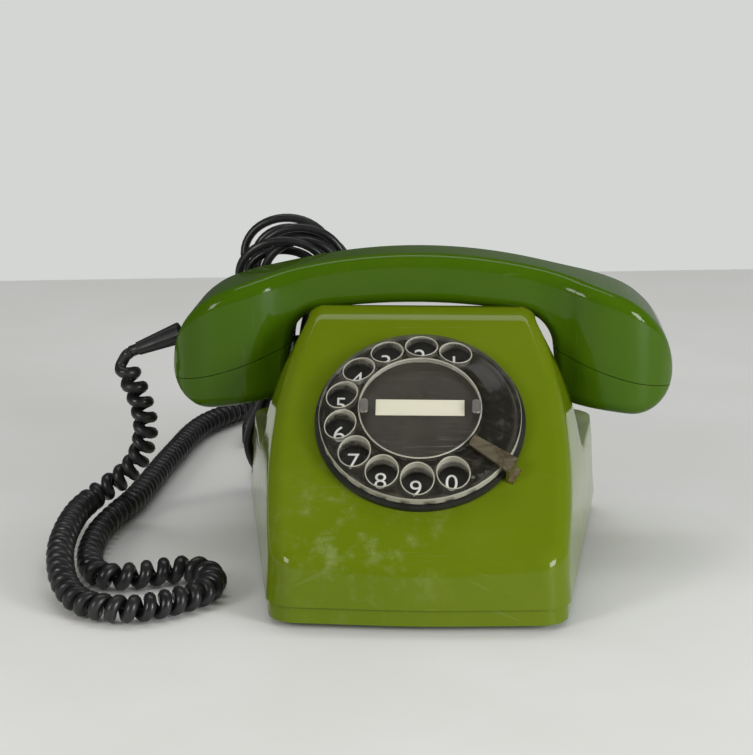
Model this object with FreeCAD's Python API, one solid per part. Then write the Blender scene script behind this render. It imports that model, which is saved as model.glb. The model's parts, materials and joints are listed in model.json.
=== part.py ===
import FreeCAD, Part
import math
import os

V = FreeCAD.Vector

# A desk telephone with a rotary dial. Sizes are in millimetres and angles in degrees.
# +Z is up, the front faces -Y, and the origin is on the table below the middle of the housing.

# Housing
BODY_DEPTH = 172.0
FRONT_HALF_WIDTH = 55.5
FLANK_FLARE = 0.135
FLANK_DRAFT = 2.0
FLANK_BEND_HEIGHT = 35.0
FLANK_RADIUS = 120.0
FRONT_LEAN = 7.0
FRONT_BOW_ANGLE = 3.2
FRONT_BOW_RADIUS = 250.0
RIDGE_HEIGHT = 24.0
PANEL_SLOPE = 40.0
TOP_HEIGHT = 104.0
TOP_LENGTH = 47.0
CORNER_RADIUS = 13.0
RIM_RADIUS = 8.0
CREASE_TURN = 13.0
TOP_FRONT_RADIUS = 24.0
WALL = 3.0

# Cradle, side scoops and carrying grip in the top of the housing
LIP_LENGTH = 4.5
TROUGH_WIDTH = 36.0
TROUGH_DEPTH = 7.8
TROUGH_RADIUS = 4.0
NECK_HALF_WIDTH = 46.3
SCOOP_FLOOR = 46.0
SCOOP_GAP = 6.0
SCOOP_RADIUS = 9.0
GRIP_HALF_WIDTH = 30.0
GRIP_SLOPE = 24.0
GRIP_RADIUS = 6.0

# Tray, feet and the screws that close the housing
FOOT_HEIGHT = 2.5
FOOT_RADIUS = 7.0
FOOT_STEM_RADIUS = 3.0
FOOT_INSET = 14.0
TRAY_HEIGHT = 6.0
TRAY_FLOOR = 3.0
TRAY_INSET = 1.2
SEAM_GAP = 0.3
POST_RADIUS = 4.6
POST_HEIGHT = 20.0
POST_FRONT = 22.0
POST_BACK = 26.0
SCREW_RADIUS = 1.8
SCREW_HEAD_RADIUS = 3.4
SCREW_HEAD_HEIGHT = 1.6
SCREW_SLOT = 0.8
SLIP = 0.1

# Dial, seen along its own axis from the panel outwards
DIAL_UP_SLOPE = 66.5
PLATE_RADIUS = 41.0
PLATE_HEIGHT = 2.0
WHEEL_RADIUS = 39.3
WHEEL_LIFT = 0.7
WHEEL_EDGE_HEIGHT = 3.4
WHEEL_CROWN = 4.6
WHEEL_WALL = 1.8
PLATEAU_RADIUS = 23.6
WHEEL_RIM_RADIUS = 0.8
HOLE_COUNT = 10
HOLE_RADIUS = 6.3
HOLE_CIRCLE = 31.3
FIRST_HOLE_ANGLE = 64.0
HOLE_STEP = 25.6
COLLAR_WALL = 0.9
LABEL_DISC_HEIGHT = 1.4
LABEL_WIDTH = 34.3
LABEL_HEIGHT = 7.4
LABEL_THICKNESS = 0.3
LABEL_RAISE = 1.5
COVER_HEIGHT = 2.2
COVER_PROUD = 0.3
CLIP_LENGTH = 3.2
CLIP_WIDTH = 6.6
CLIP_HEIGHT = 0.8
CLIP_END_RADIUS = 1.5
CLIP_EDGE_RADIUS = 0.4
STOP_TIP_RADIUS = 25.3
STOP_TIP_ANGLE = -38.7
STOP_HEADING = -28.1
STOP_LENGTH = 16.8
STOP_WIDTH = 7.1
STOP_TIP_WIDTH = 4.8
STOP_TIP_ROUNDING = 0.8
STOP_THICKNESS = 1.2
STOP_CLEARANCE = 1.0
STOP_FOOT = 3.0

# Dial movement behind the panel
SHAFT_RADIUS = 3.0
RUNNING_CLEARANCE = 0.03
BUSH_RADIUS = 5.0
BOSS_RADIUS = 17.0
BOSS_CLEARANCE = 0.3
HUB_RADIUS = 6.5
HUB_CLEARANCE = 0.6
MOVEMENT_PLATE_RADIUS = 35.0
MOVEMENT_PLATE = 1.6
MOVEMENT_DEPTH = 18.0
PILLAR_RADIUS = 2.4
PILLAR_CIRCLE = 29.0
PILLAR_ANGLES = (40.0, 100.0, 300.0)
DIAL_SCREW_CIRCLE = 13.0
DIAL_SCREW_RADIUS = 1.3
DIAL_SCREW_HEAD_RADIUS = 2.4
DIAL_SCREW_HEAD = 0.9
GEAR_THICKNESS = 1.6
GEAR_GAP = 1.2
MAIN_MODULE = 0.5
MAIN_TEETH = 60
IDLER_PINION_TEETH = 12
IDLER_MODULE = 0.45
IDLER_TEETH = 40
GOVERNOR_PINION_TEETH = 10
TOOTH_SHARE = 0.40
TOOTH_DEPTH = 1.15
TOOTH_RISE = 0.8
TOOTH_ROOT_SHARE = 1.4
TOOTH_TIP_SHARE = 0.5
ARBOR_RADIUS = 1.2
IDLER_ANGLE = 200.0
GOVERNOR_ANGLE = 120.0
SPRING_TURNS = 4
SPRING_STRIP = 0.5
SPRING_PITCH = 1.7
SPRING_INNER_RADIUS = 4.0
SPRING_WIDTH = 3.6
CAM_RADIUS = 11.0
CAM_NOTCH_RADIUS = 1.1
GOVERNOR_RADIUS = 5.6
GOVERNOR_HEIGHT = 4.0
CUP_CLEARANCE = 0.9
CUP_WALL = 1.2
CONTACT_GAP = 1.0
CONTACT_STRIP = 0.5
CONTACT_WIDTH = 6.5

# Handset
HANDSET_LENGTH = 208.4
HANDSET_TURN = -1.8
HANDLE_HEIGHT = 20.7
HANDLE_DEPTH = 29.0
HANDLE_CLEARANCE = 0.7
CAP_DEPTH = 48.0
BACK_RADIUS = 224.0
END_RADIUS = 36.0
CAP_CORNER_RADIUS = 16.0
CAP_TILT = 7.8
CAP_INNER_RADIUS = 8.0
UNDER_RADIUS = 260.0
UNDER_HALF_SPAN = 42.0
ARCH_RADIUS = 15.0
INNER_WALL_LEAN = 6.0
SWELL_START = 46.0
SWELL_RADIUS = 32.0
PLAN_END_RADIUS = 23.5
PLAN_OVERSHOOT = 1.5
HANDSET_EDGE_RADIUS = 5.5
HANDSET_WALL = 2.8
SEAM_HEIGHT = 70.3
SEAM_TILT = 9.0
SEAM_RADIUS = 173.0
SEAM_TURN = 19.5
SOUND_HOLE_RADIUS = 1.3
SOUND_HOLE_RINGS = (0.0, 5.5, 11.0)
SOUND_HOLES_PER_RING = (1, 6, 12)
CAPSULE_RADIUS = 15.6
CAPSULE_SHIFT = 4.0
CAPSULE_LIFT = 1.2
CAPSULE_HEIGHT = 13.0
CAPSULE_STEP = 4.0
CAPSULE_STEP_RADIUS = 11.0
CONTACT_BLOCK = 8.0

# Hook switch
HOOK_HALF_SPACING = 37.0
PLUNGER_LENGTH = 9.0
PLUNGER_WIDTH = 7.0
PLUNGER_CLEARANCE = 0.4
HOOK_GAP = 0.4
CROSSBAR_DEPTH = 14.0
CROSSBAR_HEIGHT = 5.0
CROSSBAR_WIDTH = 10.0
SPRINGSET_LENGTH = 36.0
SPRINGSET_STRIP = 0.6
SPRINGSET_WIDTH = 6.0

# Ringer
GONG_RADIUS = 21.0
GONG_HEIGHT = 12.0
GONG_WALL = 1.2
GONG_SPACING = 51.0
GONG_FROM_BACK = 36.0
GONG_LIFT = 9.0
GONG_POST_RADIUS = 3.0
GONG_SCREW_RADIUS = 4.0
GONG_SCREW_HEIGHT = 2.0
GONG_HIGH_HEIGHT = 10.2
GONG_CROWN_RADIUS = 8.4
GONG_SHOULDER_RADIUS = 16.8
GONG_SHOULDER_DROP = 2.0
GONG_SKIRT_RADIUS = 20.2
RINGER_PLATE = 1.5
COIL_RADIUS = 8.0
COIL_CORE_RADIUS = 3.0
COIL_LENGTH = 18.0
COIL_SPACING = 26.0
MAGNET_LENGTH = 12.6
COIL_FROM_GONGS = 36.0
ARMATURE_GAP = 1.8
ARMATURE_THICKNESS = 2.0
ARMATURE_HEIGHT = 7.0
CLAPPER_WIRE_RADIUS = 0.9
CLAPPER_BALL_RADIUS = 2.6
CLAPPER_PIN_RADIUS = 1.2
CLAPPER_PIN_GAP = 1.5
YOKE_WIDTH = 7.0

# Circuit board and what is on it
BOARD_WIDTH = 78.0
BOARD_LENGTH = 66.0
BOARD_THICKNESS = 1.6
BOARD_LIFT = 4.0
BOARD_FROM_FRONT = 16.0
BOARD_POST_RADIUS = 3.0
BOARD_POST_INSET = 6.0
COIL_BOX = (28.0, 24.0, 20.0)
CAPACITOR_BOX = (30.0, 14.0, 18.0)
TERMINAL_BOX = (44.0, 10.0, 8.0)
TERMINAL_COUNT = 6
TERMINAL_SCREW_RADIUS = 1.6
TERMINAL_SCREW_HEIGHT = 1.4
BOARD_PIECE_GAP = 4.0

# Glands in the back wall
GLAND_RADIUS = 5.5
GLAND_HEIGHT = 17.0
GLAND_OUTSIDE = 6.0
GLAND_INSIDE = 8.0
HANDSET_GLAND_X = -20.0
LINE_GLAND_X = 20.0

# Curly handset cord
CURL_WIRE_RADIUS = 1.9
CURL_OUTER_RADIUS = 5.4
BOOT_HEIGHT = 87.0
BOOT_DROP_ANGLE = 21.5
BOOT_LENGTH = 20.0
BOOT_ROOT_RADIUS = 4.7
BOOT_TIP_RADIUS = 2.9
BOOT_INSIDE = 7.0
CURL_COUNTS = (10, 17, 7, 7, 4, 13, 42)
CURL_FADE = 1.5

# Smooth line cord, its hank and its plug
CORD_RADIUS = 1.9
HANK_LAYERS = 4
HANK_LOOPS_PER_LAYER = 2
HANK_STEP = 4.4
HANK_HEIGHT = 131.0
HANK_WAIST = 11.0
HANK_END_RADIUS = 23.0
HANK_LEAN = 11.5
HANK_X = -58.0
HANK_FOOT_Y = 98.0
TIE_LENGTH = 9.0
TIE_WALL = 1.4
TIE_CLEARANCE = 0.4
PLUG_X = -79.0
PLUG_Y = 168.0
PLUG_LENGTH = 34.0
PLUG_WIDTH = 24.0
PLUG_HEIGHT = 13.0
PLUG_EDGE_RADIUS = 3.0
PIN_LENGTH = 12.0
PIN_WIDTH = 6.0
PIN_THICKNESS = 1.5
PIN_SPACING = 11.0

# Worked out from the sizes above
FRONT_Y = -BODY_DEPTH / 2
BACK_Y = BODY_DEPTH / 2
FAR = 2 * BODY_DEPTH
TRAY_TOP = FOOT_HEIGHT + TRAY_HEIGHT
SHELL_BOTTOM = TRAY_TOP + SEAM_GAP
DECK = FOOT_HEIGHT + TRAY_FLOOR


def sin(angle):
    return math.sin(math.radians(angle))


def cos(angle):
    return math.cos(math.radians(angle))


def tan(angle):
    return math.tan(math.radians(angle))


RIDGE_Y = FRONT_Y + (RIDGE_HEIGHT - FOOT_HEIGHT) * tan(FRONT_LEAN)
TOP_FRONT_Y = RIDGE_Y + (TOP_HEIGHT - RIDGE_HEIGHT) / tan(PANEL_SLOPE)
TOP_BACK_Y = TOP_FRONT_Y + TOP_LENGTH
BACK_RUN = (BACK_Y - TOP_BACK_Y) / (TOP_HEIGHT - FOOT_HEIGHT)
HANDSET_Y = TOP_FRONT_Y + LIP_LENGTH + TROUGH_WIDTH / 2
TROUGH_FLOOR = TOP_HEIGHT - TROUGH_DEPTH
UNDERSIDE = TOP_HEIGHT - HANDLE_CLEARANCE
HANDSET_TOP = UNDERSIDE + HANDLE_HEIGHT
DIAL = FreeCAD.Placement(
    V(0, RIDGE_Y + DIAL_UP_SLOPE * cos(PANEL_SLOPE), RIDGE_HEIGHT + DIAL_UP_SLOPE * sin(PANEL_SLOPE)),
    FreeCAD.Rotation(V(1, 0, 0), PANEL_SLOPE))

# Heights along the dial's axis, from the panel
WHEEL_BOTTOM = PLATE_HEIGHT + WHEEL_LIFT
WHEEL_EDGE = WHEEL_BOTTOM + WHEEL_EDGE_HEIGHT
WHEEL_TOP = WHEEL_EDGE + WHEEL_CROWN
WHEEL_FLOOR = WHEEL_TOP - COVER_HEIGHT - LABEL_DISC_HEIGHT - LABEL_THICKNESS - 2 * SLIP
FRONT_PLATE = -WALL - MOVEMENT_PLATE - SLIP
REAR_PLATE = FRONT_PLATE - MOVEMENT_DEPTH - MOVEMENT_PLATE
MAIN_GEAR_LOW = FRONT_PLATE - GEAR_GAP - GEAR_THICKNESS
IDLER_GEAR_LOW = MAIN_GEAR_LOW - GEAR_GAP - GEAR_THICKNESS
SPRING_LOW = IDLER_GEAR_LOW - GEAR_GAP - SPRING_WIDTH
CAM_LOW = SPRING_LOW - GEAR_GAP - GEAR_THICKNESS


# Basic shapes

def box(low, high):
    size = high - low
    return Part.makeBox(size.x, size.y, size.z, low)


def rod(radius, low, high, x=0.0, y=0.0):
    """An upright cylinder between two heights."""
    return Part.makeCylinder(radius, high - low, V(x, y, low))


def tube(outer, inner, low, high, x=0.0, y=0.0):
    return rod(outer, low, high, x, y).cut(rod(inner, low, high, x, y))


def polar(radius, angle):
    return radius * cos(angle), radius * sin(angle)


def in_dial(shape):
    """Move a shape made on the dial's own axes to the sloping panel."""
    return shape.transformed(DIAL.toMatrix(), True)


def line(start, end):
    return Part.LineSegment(start, end).toShape()


def outline_of(edges, place):
    """A closed wire from 2D lines (two points) and arcs (three points)."""
    made = []
    for points in edges:
        placed = [place(*point) for point in points]
        made.append(line(*placed) if len(placed) == 2 else Part.Arc(*placed).toShape())
    return Part.Wire(Part.__sortEdges__(made))


def rounded_polygon(corners):
    """Lines and tangent arcs through corners given as (u, v, radius)."""
    count = len(corners)
    arcs = []
    for index, (u, v, radius) in enumerate(corners):
        here = V(u, v, 0)
        back = (V(*corners[index - 1][:2], 0) - here).normalize()
        ahead = (V(*corners[(index + 1) % count][:2], 0) - here).normalize()
        half = back.getAngle(ahead) / 2
        reach = radius / math.tan(half)
        middle = here + (back + ahead).normalize() * (radius / math.sin(half) - radius)
        arcs.append([here + back * reach, middle, here + ahead * reach])
    edges = []
    for index, arc in enumerate(arcs):
        if corners[index][2]:
            edges.append([(p.x, p.y) for p in arc])
        start, end = arc[2], arcs[(index + 1) % count][0]
        edges.append([(start.x, start.y), (end.x, end.y)])
    return edges


def arc_from(start, heading, radius, turn):
    """A 2D arc as three points, and the heading at its end; a positive turn bears left."""
    side = math.copysign(1, turn)
    centre_u = start[0] - side * radius * sin(heading)
    centre_v = start[1] + side * radius * cos(heading)

    def at(angle):
        return centre_u + side * radius * sin(angle), centre_v - side * radius * cos(angle)

    return [start, at(heading + turn / 2), at(heading + turn)], heading + turn


def mirrored(edges, u_sign, v_sign):
    return [[(u_sign * u, v_sign * v) for u, v in reversed(points)] for points in reversed(edges)]


def crease_edges(shape, least_turn, above):
    """The edges where two faces meet at an angle, with their middle above a height."""
    found = []
    for edge in shape.Edges:
        middle = edge.valueAt((edge.FirstParameter + edge.LastParameter) / 2)
        faces = shape.ancestorsOfType(edge, Part.Face)
        if len(faces) != 2 or middle.z < above:
            continue
        normals = [face.normalAt(*face.Surface.parameter(middle)) for face in faces]
        if math.degrees(normals[0].getAngle(normals[1])) > least_turn:
            found.append(edge)
    return found


def revolved(profile):
    """A solid of revolution about Z from (radius, height) corners."""
    points = [V(r, 0, h) for r, h in profile]
    face = Part.Face(Part.makePolygon(points + points[:1]))
    return face.revolve(V(0, 0, 0), V(0, 0, 1), 360)


def rounded_box(low, high, radius):
    """A box with every edge rounded alike."""
    solid = box(low, high)
    return solid.makeFillet(radius, solid.Edges)


# Housing

def flank_lean(z):
    """How far a flank has come in at a height, from its width at the foot line."""
    lower = min(z, FLANK_BEND_HEIGHT)
    inward = (lower - FOOT_HEIGHT) * tan(FLANK_DRAFT)
    if z > FLANK_BEND_HEIGHT:
        rise = (z - FLANK_BEND_HEIGHT) / FLANK_RADIUS + sin(FLANK_DRAFT)
        inward += FLANK_RADIUS * (cos(FLANK_DRAFT) - math.sqrt(1 - rise ** 2))
    return inward


def half_width(y, z):
    return FRONT_HALF_WIDTH + FLANK_FLARE * (y - FRONT_Y) - flank_lean(z)


def back_y(z):
    return BACK_Y - (z - FOOT_HEIGHT) * BACK_RUN


def housing_section(z, inset):
    """The level outline of the housing at a height, with bowed front and rounded corners."""
    front = FRONT_Y + (z - FOOT_HEIGHT) * tan(FRONT_LEAN) + inset
    back = back_y(z) - inset
    back_half = half_width(back, z) - inset
    front_half = (half_width(front, z) - inset) / (1 - FLANK_FLARE * tan(FRONT_BOW_ANGLE))
    corner_y = front + front_half * tan(FRONT_BOW_ANGLE)
    radius = CORNER_RADIUS - inset
    corners = [(-front_half, corner_y, radius), (0, front, FRONT_BOW_RADIUS), (front_half, corner_y, radius),
               (back_half, back, radius), (-back_half, back, radius)]
    return outline_of(rounded_polygon(corners), lambda u, v: V(u, v, z))


def panel_profile(inset):
    """Everything under the sloping panel and the flat top, across the whole width."""
    start = FRONT_Y - TOP_HEIGHT
    low = RIDGE_HEIGHT - (RIDGE_Y - start) * tan(PANEL_SLOPE)
    corners = [(start, low - TOP_HEIGHT, 0), (start, low, 0), (TOP_FRONT_Y, TOP_HEIGHT, TOP_FRONT_RADIUS),
               (BACK_Y + TOP_HEIGHT, TOP_HEIGHT, 0), (BACK_Y + TOP_HEIGHT, low - TOP_HEIGHT, 0)]
    wire = outline_of(rounded_polygon(corners), lambda u, v: V(-FAR, u, v))
    if inset:
        wire = wire.makeOffset2D(-inset, 2)
    return Part.Face(wire).extrude(V(2 * FAR, 0, 0))


def housing_block(inset, low, high):
    """The solid block of the housing, moved in on every side, between two heights."""
    levels = [FOOT_HEIGHT - TRAY_HEIGHT, FLANK_BEND_HEIGHT / 2]
    steps = 5
    reach = TOP_HEIGHT + WALL - FLANK_BEND_HEIGHT
    levels += [FLANK_BEND_HEIGHT + reach * step / steps for step in range(steps + 1)]
    block = Part.makeLoft([housing_section(z, inset) for z in levels], True, False)
    block = block.common(panel_profile(inset))
    return block.common(box(V(-FAR, -FAR, low), V(FAR, FAR, high)))


def trough_cut(grow):
    """The channel across the top that the handle lies in."""
    front = TOP_FRONT_Y + LIP_LENGTH - grow
    back = TOP_FRONT_Y + LIP_LENGTH + TROUGH_WIDTH + grow
    floor = TROUGH_FLOOR - grow
    high = TOP_HEIGHT + FAR
    radius = TROUGH_RADIUS + grow
    corners = [(front, high, 0), (front, floor, radius), (back, floor, radius), (back, high, 0)]
    wire = outline_of(rounded_polygon(corners), lambda u, v: V(-FAR, u, v))
    return Part.Face(wire).extrude(V(2 * FAR, 0, 0))


def grip_cut(grow):
    """The hollow behind the handle, open to the back, where fingers go to carry the telephone."""
    start = HANDSET_Y - TROUGH_WIDTH / 4
    length = FAR - start
    floor = TROUGH_FLOOR - grow
    points = [V(-GRIP_HALF_WIDTH - grow, start - grow, floor + FAR),
              V(-GRIP_HALF_WIDTH - grow, start - grow, floor),
              V(-GRIP_HALF_WIDTH - grow, start + length, floor - length * tan(GRIP_SLOPE)),
              V(-GRIP_HALF_WIDTH - grow, start + length, floor + FAR)]
    face = Part.Face(Part.makePolygon(points + points[:1]))
    solid = face.extrude(V(2 * (GRIP_HALF_WIDTH + grow), 0, 0))
    lengthwise = []
    for edge in solid.Edges:
        heading = edge.tangentAt(edge.FirstParameter)
        if abs(heading.z) > sin(GRIP_SLOPE) / 2 and abs(heading.y) > cos(GRIP_SLOPE) / 2:
            lengthwise.append(edge)
    return solid.makeFillet(GRIP_RADIUS + grow, lengthwise)


def scoop_cut(side, grow):
    """Room beside the neck for one end of the handset, open upwards and to the back."""
    front = HANDSET_Y - CAP_DEPTH / 2 - SCOOP_GAP - grow
    inner = NECK_HALF_WIDTH - grow
    floor = SCOOP_FLOOR - grow
    near = V(inner, front, floor)
    solid = box(near, V(FAR, FAR, FAR))
    corner = []
    for edge in solid.Edges:
        if min((vertex.Point - near).Length for vertex in edge.Vertexes) < SLIP:
            corner.append(edge)
    solid = solid.makeFillet(SCOOP_RADIUS + grow, corner)
    return solid if side > 0 else solid.mirror(V(0, 0, 0), V(1, 0, 0))


def post_places():
    """Where the four closing screws stand, each against the inside of a flank."""
    places = []
    for y in (FRONT_Y + POST_FRONT, BACK_Y - POST_BACK):
        x = half_width(y, TRAY_TOP) - WALL - POST_RADIUS / 2
        places += [(-x, y), (x, y)]
    return places


def foot_places():
    return [(math.copysign(abs(x) - FOOT_INSET, x), y) for x, y in post_places()]


def housing_shell():
    block = housing_block(0, SHELL_BOTTOM, FAR)
    block = block.makeFillet(RIM_RADIUS, crease_edges(block, CREASE_TURN, SHELL_BOTTOM + TRAY_HEIGHT))
    hollow = housing_block(WALL, FOOT_HEIGHT, FAR)
    for cut, grow in ((trough_cut, WALL), (grip_cut, WALL)):
        hollow = hollow.cut(cut(grow))
        block = block.cut(cut(0))
    for side in (1, -1):
        hollow = hollow.cut(scoop_cut(side, WALL))
        block = block.cut(scoop_cut(side, 0))
    shell = block.cut(hollow)
    posts = [rod(POST_RADIUS, SHELL_BOTTOM, SHELL_BOTTOM + POST_HEIGHT, x, y) for x, y in post_places()]
    shell = shell.fuse([post.common(housing_block(WALL / 2, SHELL_BOTTOM, FAR)) for post in posts])
    for x, y in post_places():
        shell = shell.cut(rod(SCREW_RADIUS + SLIP, SHELL_BOTTOM, SHELL_BOTTOM + POST_HEIGHT - WALL, x, y))
    shell = shell.cut(in_dial(rod(BOSS_RADIUS + BOSS_CLEARANCE, -2 * WALL, WALL)))
    for side in (1, -1):
        shell = shell.cut(plunger(side, PLUNGER_CLEARANCE))
    for x in (HANDSET_GLAND_X, LINE_GLAND_X):
        shell = shell.cut(gland_rod(x, GLAND_RADIUS))
    return shell.removeSplitter()


def base_tray():
    tray = housing_block(TRAY_INSET, FOOT_HEIGHT, TRAY_TOP)
    tray = tray.cut(housing_block(TRAY_INSET + WALL, DECK, FAR))
    for x, y in board_post_places():
        tray = tray.fuse(rod(BOARD_POST_RADIUS, DECK, DECK + BOARD_LIFT, x, y))
    for x, y in post_places():
        post = rod(POST_RADIUS, FOOT_HEIGHT, TRAY_TOP, x, y)
        tray = tray.fuse(post.common(housing_block(TRAY_INSET, FOOT_HEIGHT, TRAY_TOP)))
        tray = tray.cut(rod(SCREW_RADIUS + SLIP, FOOT_HEIGHT, TRAY_TOP, x, y))
        head_top = FOOT_HEIGHT + SCREW_HEAD_HEIGHT + SLIP
        tray = tray.cut(rod(SCREW_HEAD_RADIUS + SLIP, FOOT_HEIGHT, head_top, x, y))
    for x, y in foot_places():
        tray = tray.cut(rod(FOOT_STEM_RADIUS, FOOT_HEIGHT, DECK, x, y))
    return tray.removeSplitter()


def rubber_feet():
    feet = []
    for x, y in foot_places():
        pad = rod(FOOT_RADIUS, 0, FOOT_HEIGHT, x, y)
        feet.append(pad.fuse(rod(FOOT_STEM_RADIUS, 0, DECK, x, y)).removeSplitter())
    return Part.makeCompound(feet)


def housing_screws():
    screws = []
    for x, y in post_places():
        low = FOOT_HEIGHT + SLIP
        head = rod(SCREW_HEAD_RADIUS, low, low + SCREW_HEAD_HEIGHT, x, y)
        shank = rod(SCREW_RADIUS, low, SHELL_BOTTOM + POST_HEIGHT - 2 * WALL, x, y)
        slot = box(V(x - SCREW_HEAD_RADIUS, y - SCREW_SLOT / 2, FOOT_HEIGHT),
                   V(x + SCREW_HEAD_RADIUS, y + SCREW_SLOT / 2, low + SCREW_HEAD_HEIGHT / 2))
        screws.append(head.fuse(shank).cut(slot).removeSplitter())
    return Part.makeCompound(screws)


# Dial: each of these is made on the dial's own axes, with Z out of the panel

def cone_height(radius):
    """Height of the wheel's dished top at a distance from its axis."""
    return WHEEL_EDGE + (WHEEL_RADIUS - radius) * WHEEL_CROWN / (WHEEL_RADIUS - PLATEAU_RADIUS)


def hole_places():
    return [polar(HOLE_CIRCLE, FIRST_HOLE_ANGLE + HOLE_STEP * index) for index in range(HOLE_COUNT)]


def dial_screw_places():
    return [polar(DIAL_SCREW_CIRCLE, 90 + 120 * index) for index in range(3)]


def number_plate():
    plate = rod(PLATE_RADIUS, 0, PLATE_HEIGHT).cut(rod(HUB_RADIUS + HUB_CLEARANCE, 0, PLATE_HEIGHT))
    for x, y in dial_screw_places():
        plate = plate.cut(rod(DIAL_SCREW_RADIUS + SLIP, 0, PLATE_HEIGHT, x, y))
    return in_dial(plate)


def finger_wheel():
    inner = PLATEAU_RADIUS + WHEEL_WALL
    outer = WHEEL_RADIUS - WHEEL_WALL
    disc = revolved([(outer, WHEEL_BOTTOM), (WHEEL_RADIUS, WHEEL_BOTTOM), (WHEEL_RADIUS, WHEEL_EDGE),
                     (PLATEAU_RADIUS, WHEEL_TOP), (PLATEAU_RADIUS, WHEEL_FLOOR), (SHAFT_RADIUS, WHEEL_FLOOR),
                     (SHAFT_RADIUS, WHEEL_FLOOR - WHEEL_WALL), (inner, WHEEL_FLOOR - WHEEL_WALL),
                     (inner, cone_height(inner) - WHEEL_WALL), (outer, cone_height(outer) - WHEEL_WALL)])
    brim = [edge for edge in disc.Edges if abs(edge.BoundBox.ZMin - WHEEL_EDGE) < SLIP / 2
            and abs(edge.BoundBox.ZMax - WHEEL_EDGE) < SLIP / 2]
    disc = disc.makeFillet(WHEEL_RIM_RADIUS, brim)
    middle = PLATEAU_RADIUS + WHEEL_WALL / 2
    room = revolved([(middle, WHEEL_BOTTOM), (outer, WHEEL_BOTTOM), (outer, cone_height(outer)),
                     (middle, cone_height(middle))])
    for x, y in hole_places():
        disc = disc.fuse(rod(HOLE_RADIUS + COLLAR_WALL, WHEEL_BOTTOM, WHEEL_TOP, x, y).common(room))
    for x, y in hole_places():
        disc = disc.cut(rod(HOLE_RADIUS, WHEEL_BOTTOM, WHEEL_TOP, x, y))
    return in_dial(disc.removeSplitter())


def label_disc():
    return in_dial(rod(PLATEAU_RADIUS - SLIP, WHEEL_FLOOR, WHEEL_FLOOR + LABEL_DISC_HEIGHT))


def label_card():
    low = WHEEL_FLOOR + LABEL_DISC_HEIGHT
    return in_dial(box(V(-LABEL_WIDTH / 2, LABEL_RAISE - LABEL_HEIGHT / 2, low),
                       V(LABEL_WIDTH / 2, LABEL_RAISE + LABEL_HEIGHT / 2, low + LABEL_THICKNESS)))


def label_cover():
    low = WHEEL_FLOOR + LABEL_DISC_HEIGHT + LABEL_THICKNESS + SLIP
    high = WHEEL_TOP + COVER_PROUD
    cover = rod(PLATEAU_RADIUS - SLIP, low, high)
    rim = [edge for edge in cover.Edges if edge.BoundBox.ZMin > high - SLIP]
    return in_dial(cover.makeFillet(COVER_PROUD, rim))


def cover_clips():
    low = WHEEL_TOP + COVER_PROUD
    reach = PLATEAU_RADIUS - CLIP_LENGTH / 2 - COVER_PROUD - SLIP
    clips = []
    for x in (-reach, reach):
        half = V(CLIP_LENGTH / 2, CLIP_WIDTH / 2, 0)
        clip = box(V(x, 0, low) - half, V(x, 0, low + CLIP_HEIGHT) + half)
        clip = clip.makeFillet(CLIP_END_RADIUS, [edge for edge in clip.Edges if edge.BoundBox.ZLength > SLIP])
        upper = [edge for edge in clip.Edges if edge.BoundBox.ZMin > low + SLIP]
        clips.append(in_dial(clip.makeFillet(CLIP_EDGE_RADIUS, upper)))
    return Part.makeCompound(clips)


def finger_stop():
    """A bent tongue: it narrows to its tip over the wheel and stands on the panel beside the plate."""
    tip_x, tip_y = polar(STOP_TIP_RADIUS, STOP_TIP_ANGLE)
    way_x, way_y = polar(STOP_LENGTH, STOP_HEADING)
    under = cone_height(math.hypot(tip_x + way_x, tip_y + way_y)) + STOP_CLEARANCE
    tip = cone_height(STOP_TIP_RADIUS) + STOP_CLEARANCE
    leg, end = STOP_LENGTH, STOP_LENGTH + STOP_FOOT
    profile = [(0, tip), (leg, under), (leg, 0), (end, 0), (end, STOP_THICKNESS),
               (leg + STOP_THICKNESS, STOP_THICKNESS), (leg + STOP_THICKNESS, under + STOP_THICKNESS),
               (0, tip + STOP_THICKNESS)]
    points = [V(u, -STOP_WIDTH, h) for u, h in profile]
    stop = Part.Face(Part.makePolygon(points + points[:1])).extrude(V(0, 2 * STOP_WIDTH, 0))
    narrow, wide = STOP_TIP_WIDTH / 2, STOP_WIDTH / 2
    plan = [V(0, -narrow, 0), V(leg, -wide, 0), V(end, -wide, 0),
            V(end, wide, 0), V(leg, wide, 0), V(0, narrow, 0)]
    stop = stop.common(Part.Face(Part.makePolygon(plan + plan[:1])).extrude(V(0, 0, 2 * tip)))
    near_tip = [edge for edge in stop.Edges if edge.BoundBox.XMax < SLIP]
    stop = stop.makeFillet(STOP_TIP_ROUNDING, [edge for edge in near_tip if edge.BoundBox.YLength < SLIP])
    stop.rotate(V(0, 0, 0), V(0, 0, 1), STOP_HEADING)
    stop.translate(V(tip_x, tip_y, 0))
    return in_dial(stop)


def idler_place():
    return polar(MAIN_MODULE * (MAIN_TEETH + IDLER_PINION_TEETH) / 2, IDLER_ANGLE)


def governor_place():
    x, y = idler_place()
    dx, dy = polar(IDLER_MODULE * (IDLER_TEETH + GOVERNOR_PINION_TEETH) / 2, GOVERNOR_ANGLE)
    return x + dx, y + dy


def dial_frame_front():
    high = FRONT_PLATE + MOVEMENT_PLATE
    plate = rod(MOVEMENT_PLATE_RADIUS, FRONT_PLATE, high).fuse(rod(BOSS_RADIUS, FRONT_PLATE, 0))
    plate = plate.cut(rod(BUSH_RADIUS, FRONT_PLATE, 0))
    for x, y in (idler_place(), governor_place()):
        plate = plate.cut(rod(ARBOR_RADIUS + RUNNING_CLEARANCE, FRONT_PLATE, 0, x, y))
    for x, y in dial_screw_places():
        plate = plate.cut(rod(DIAL_SCREW_RADIUS + SLIP, FRONT_PLATE, 0, x, y))
    return in_dial(plate.removeSplitter())


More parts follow.
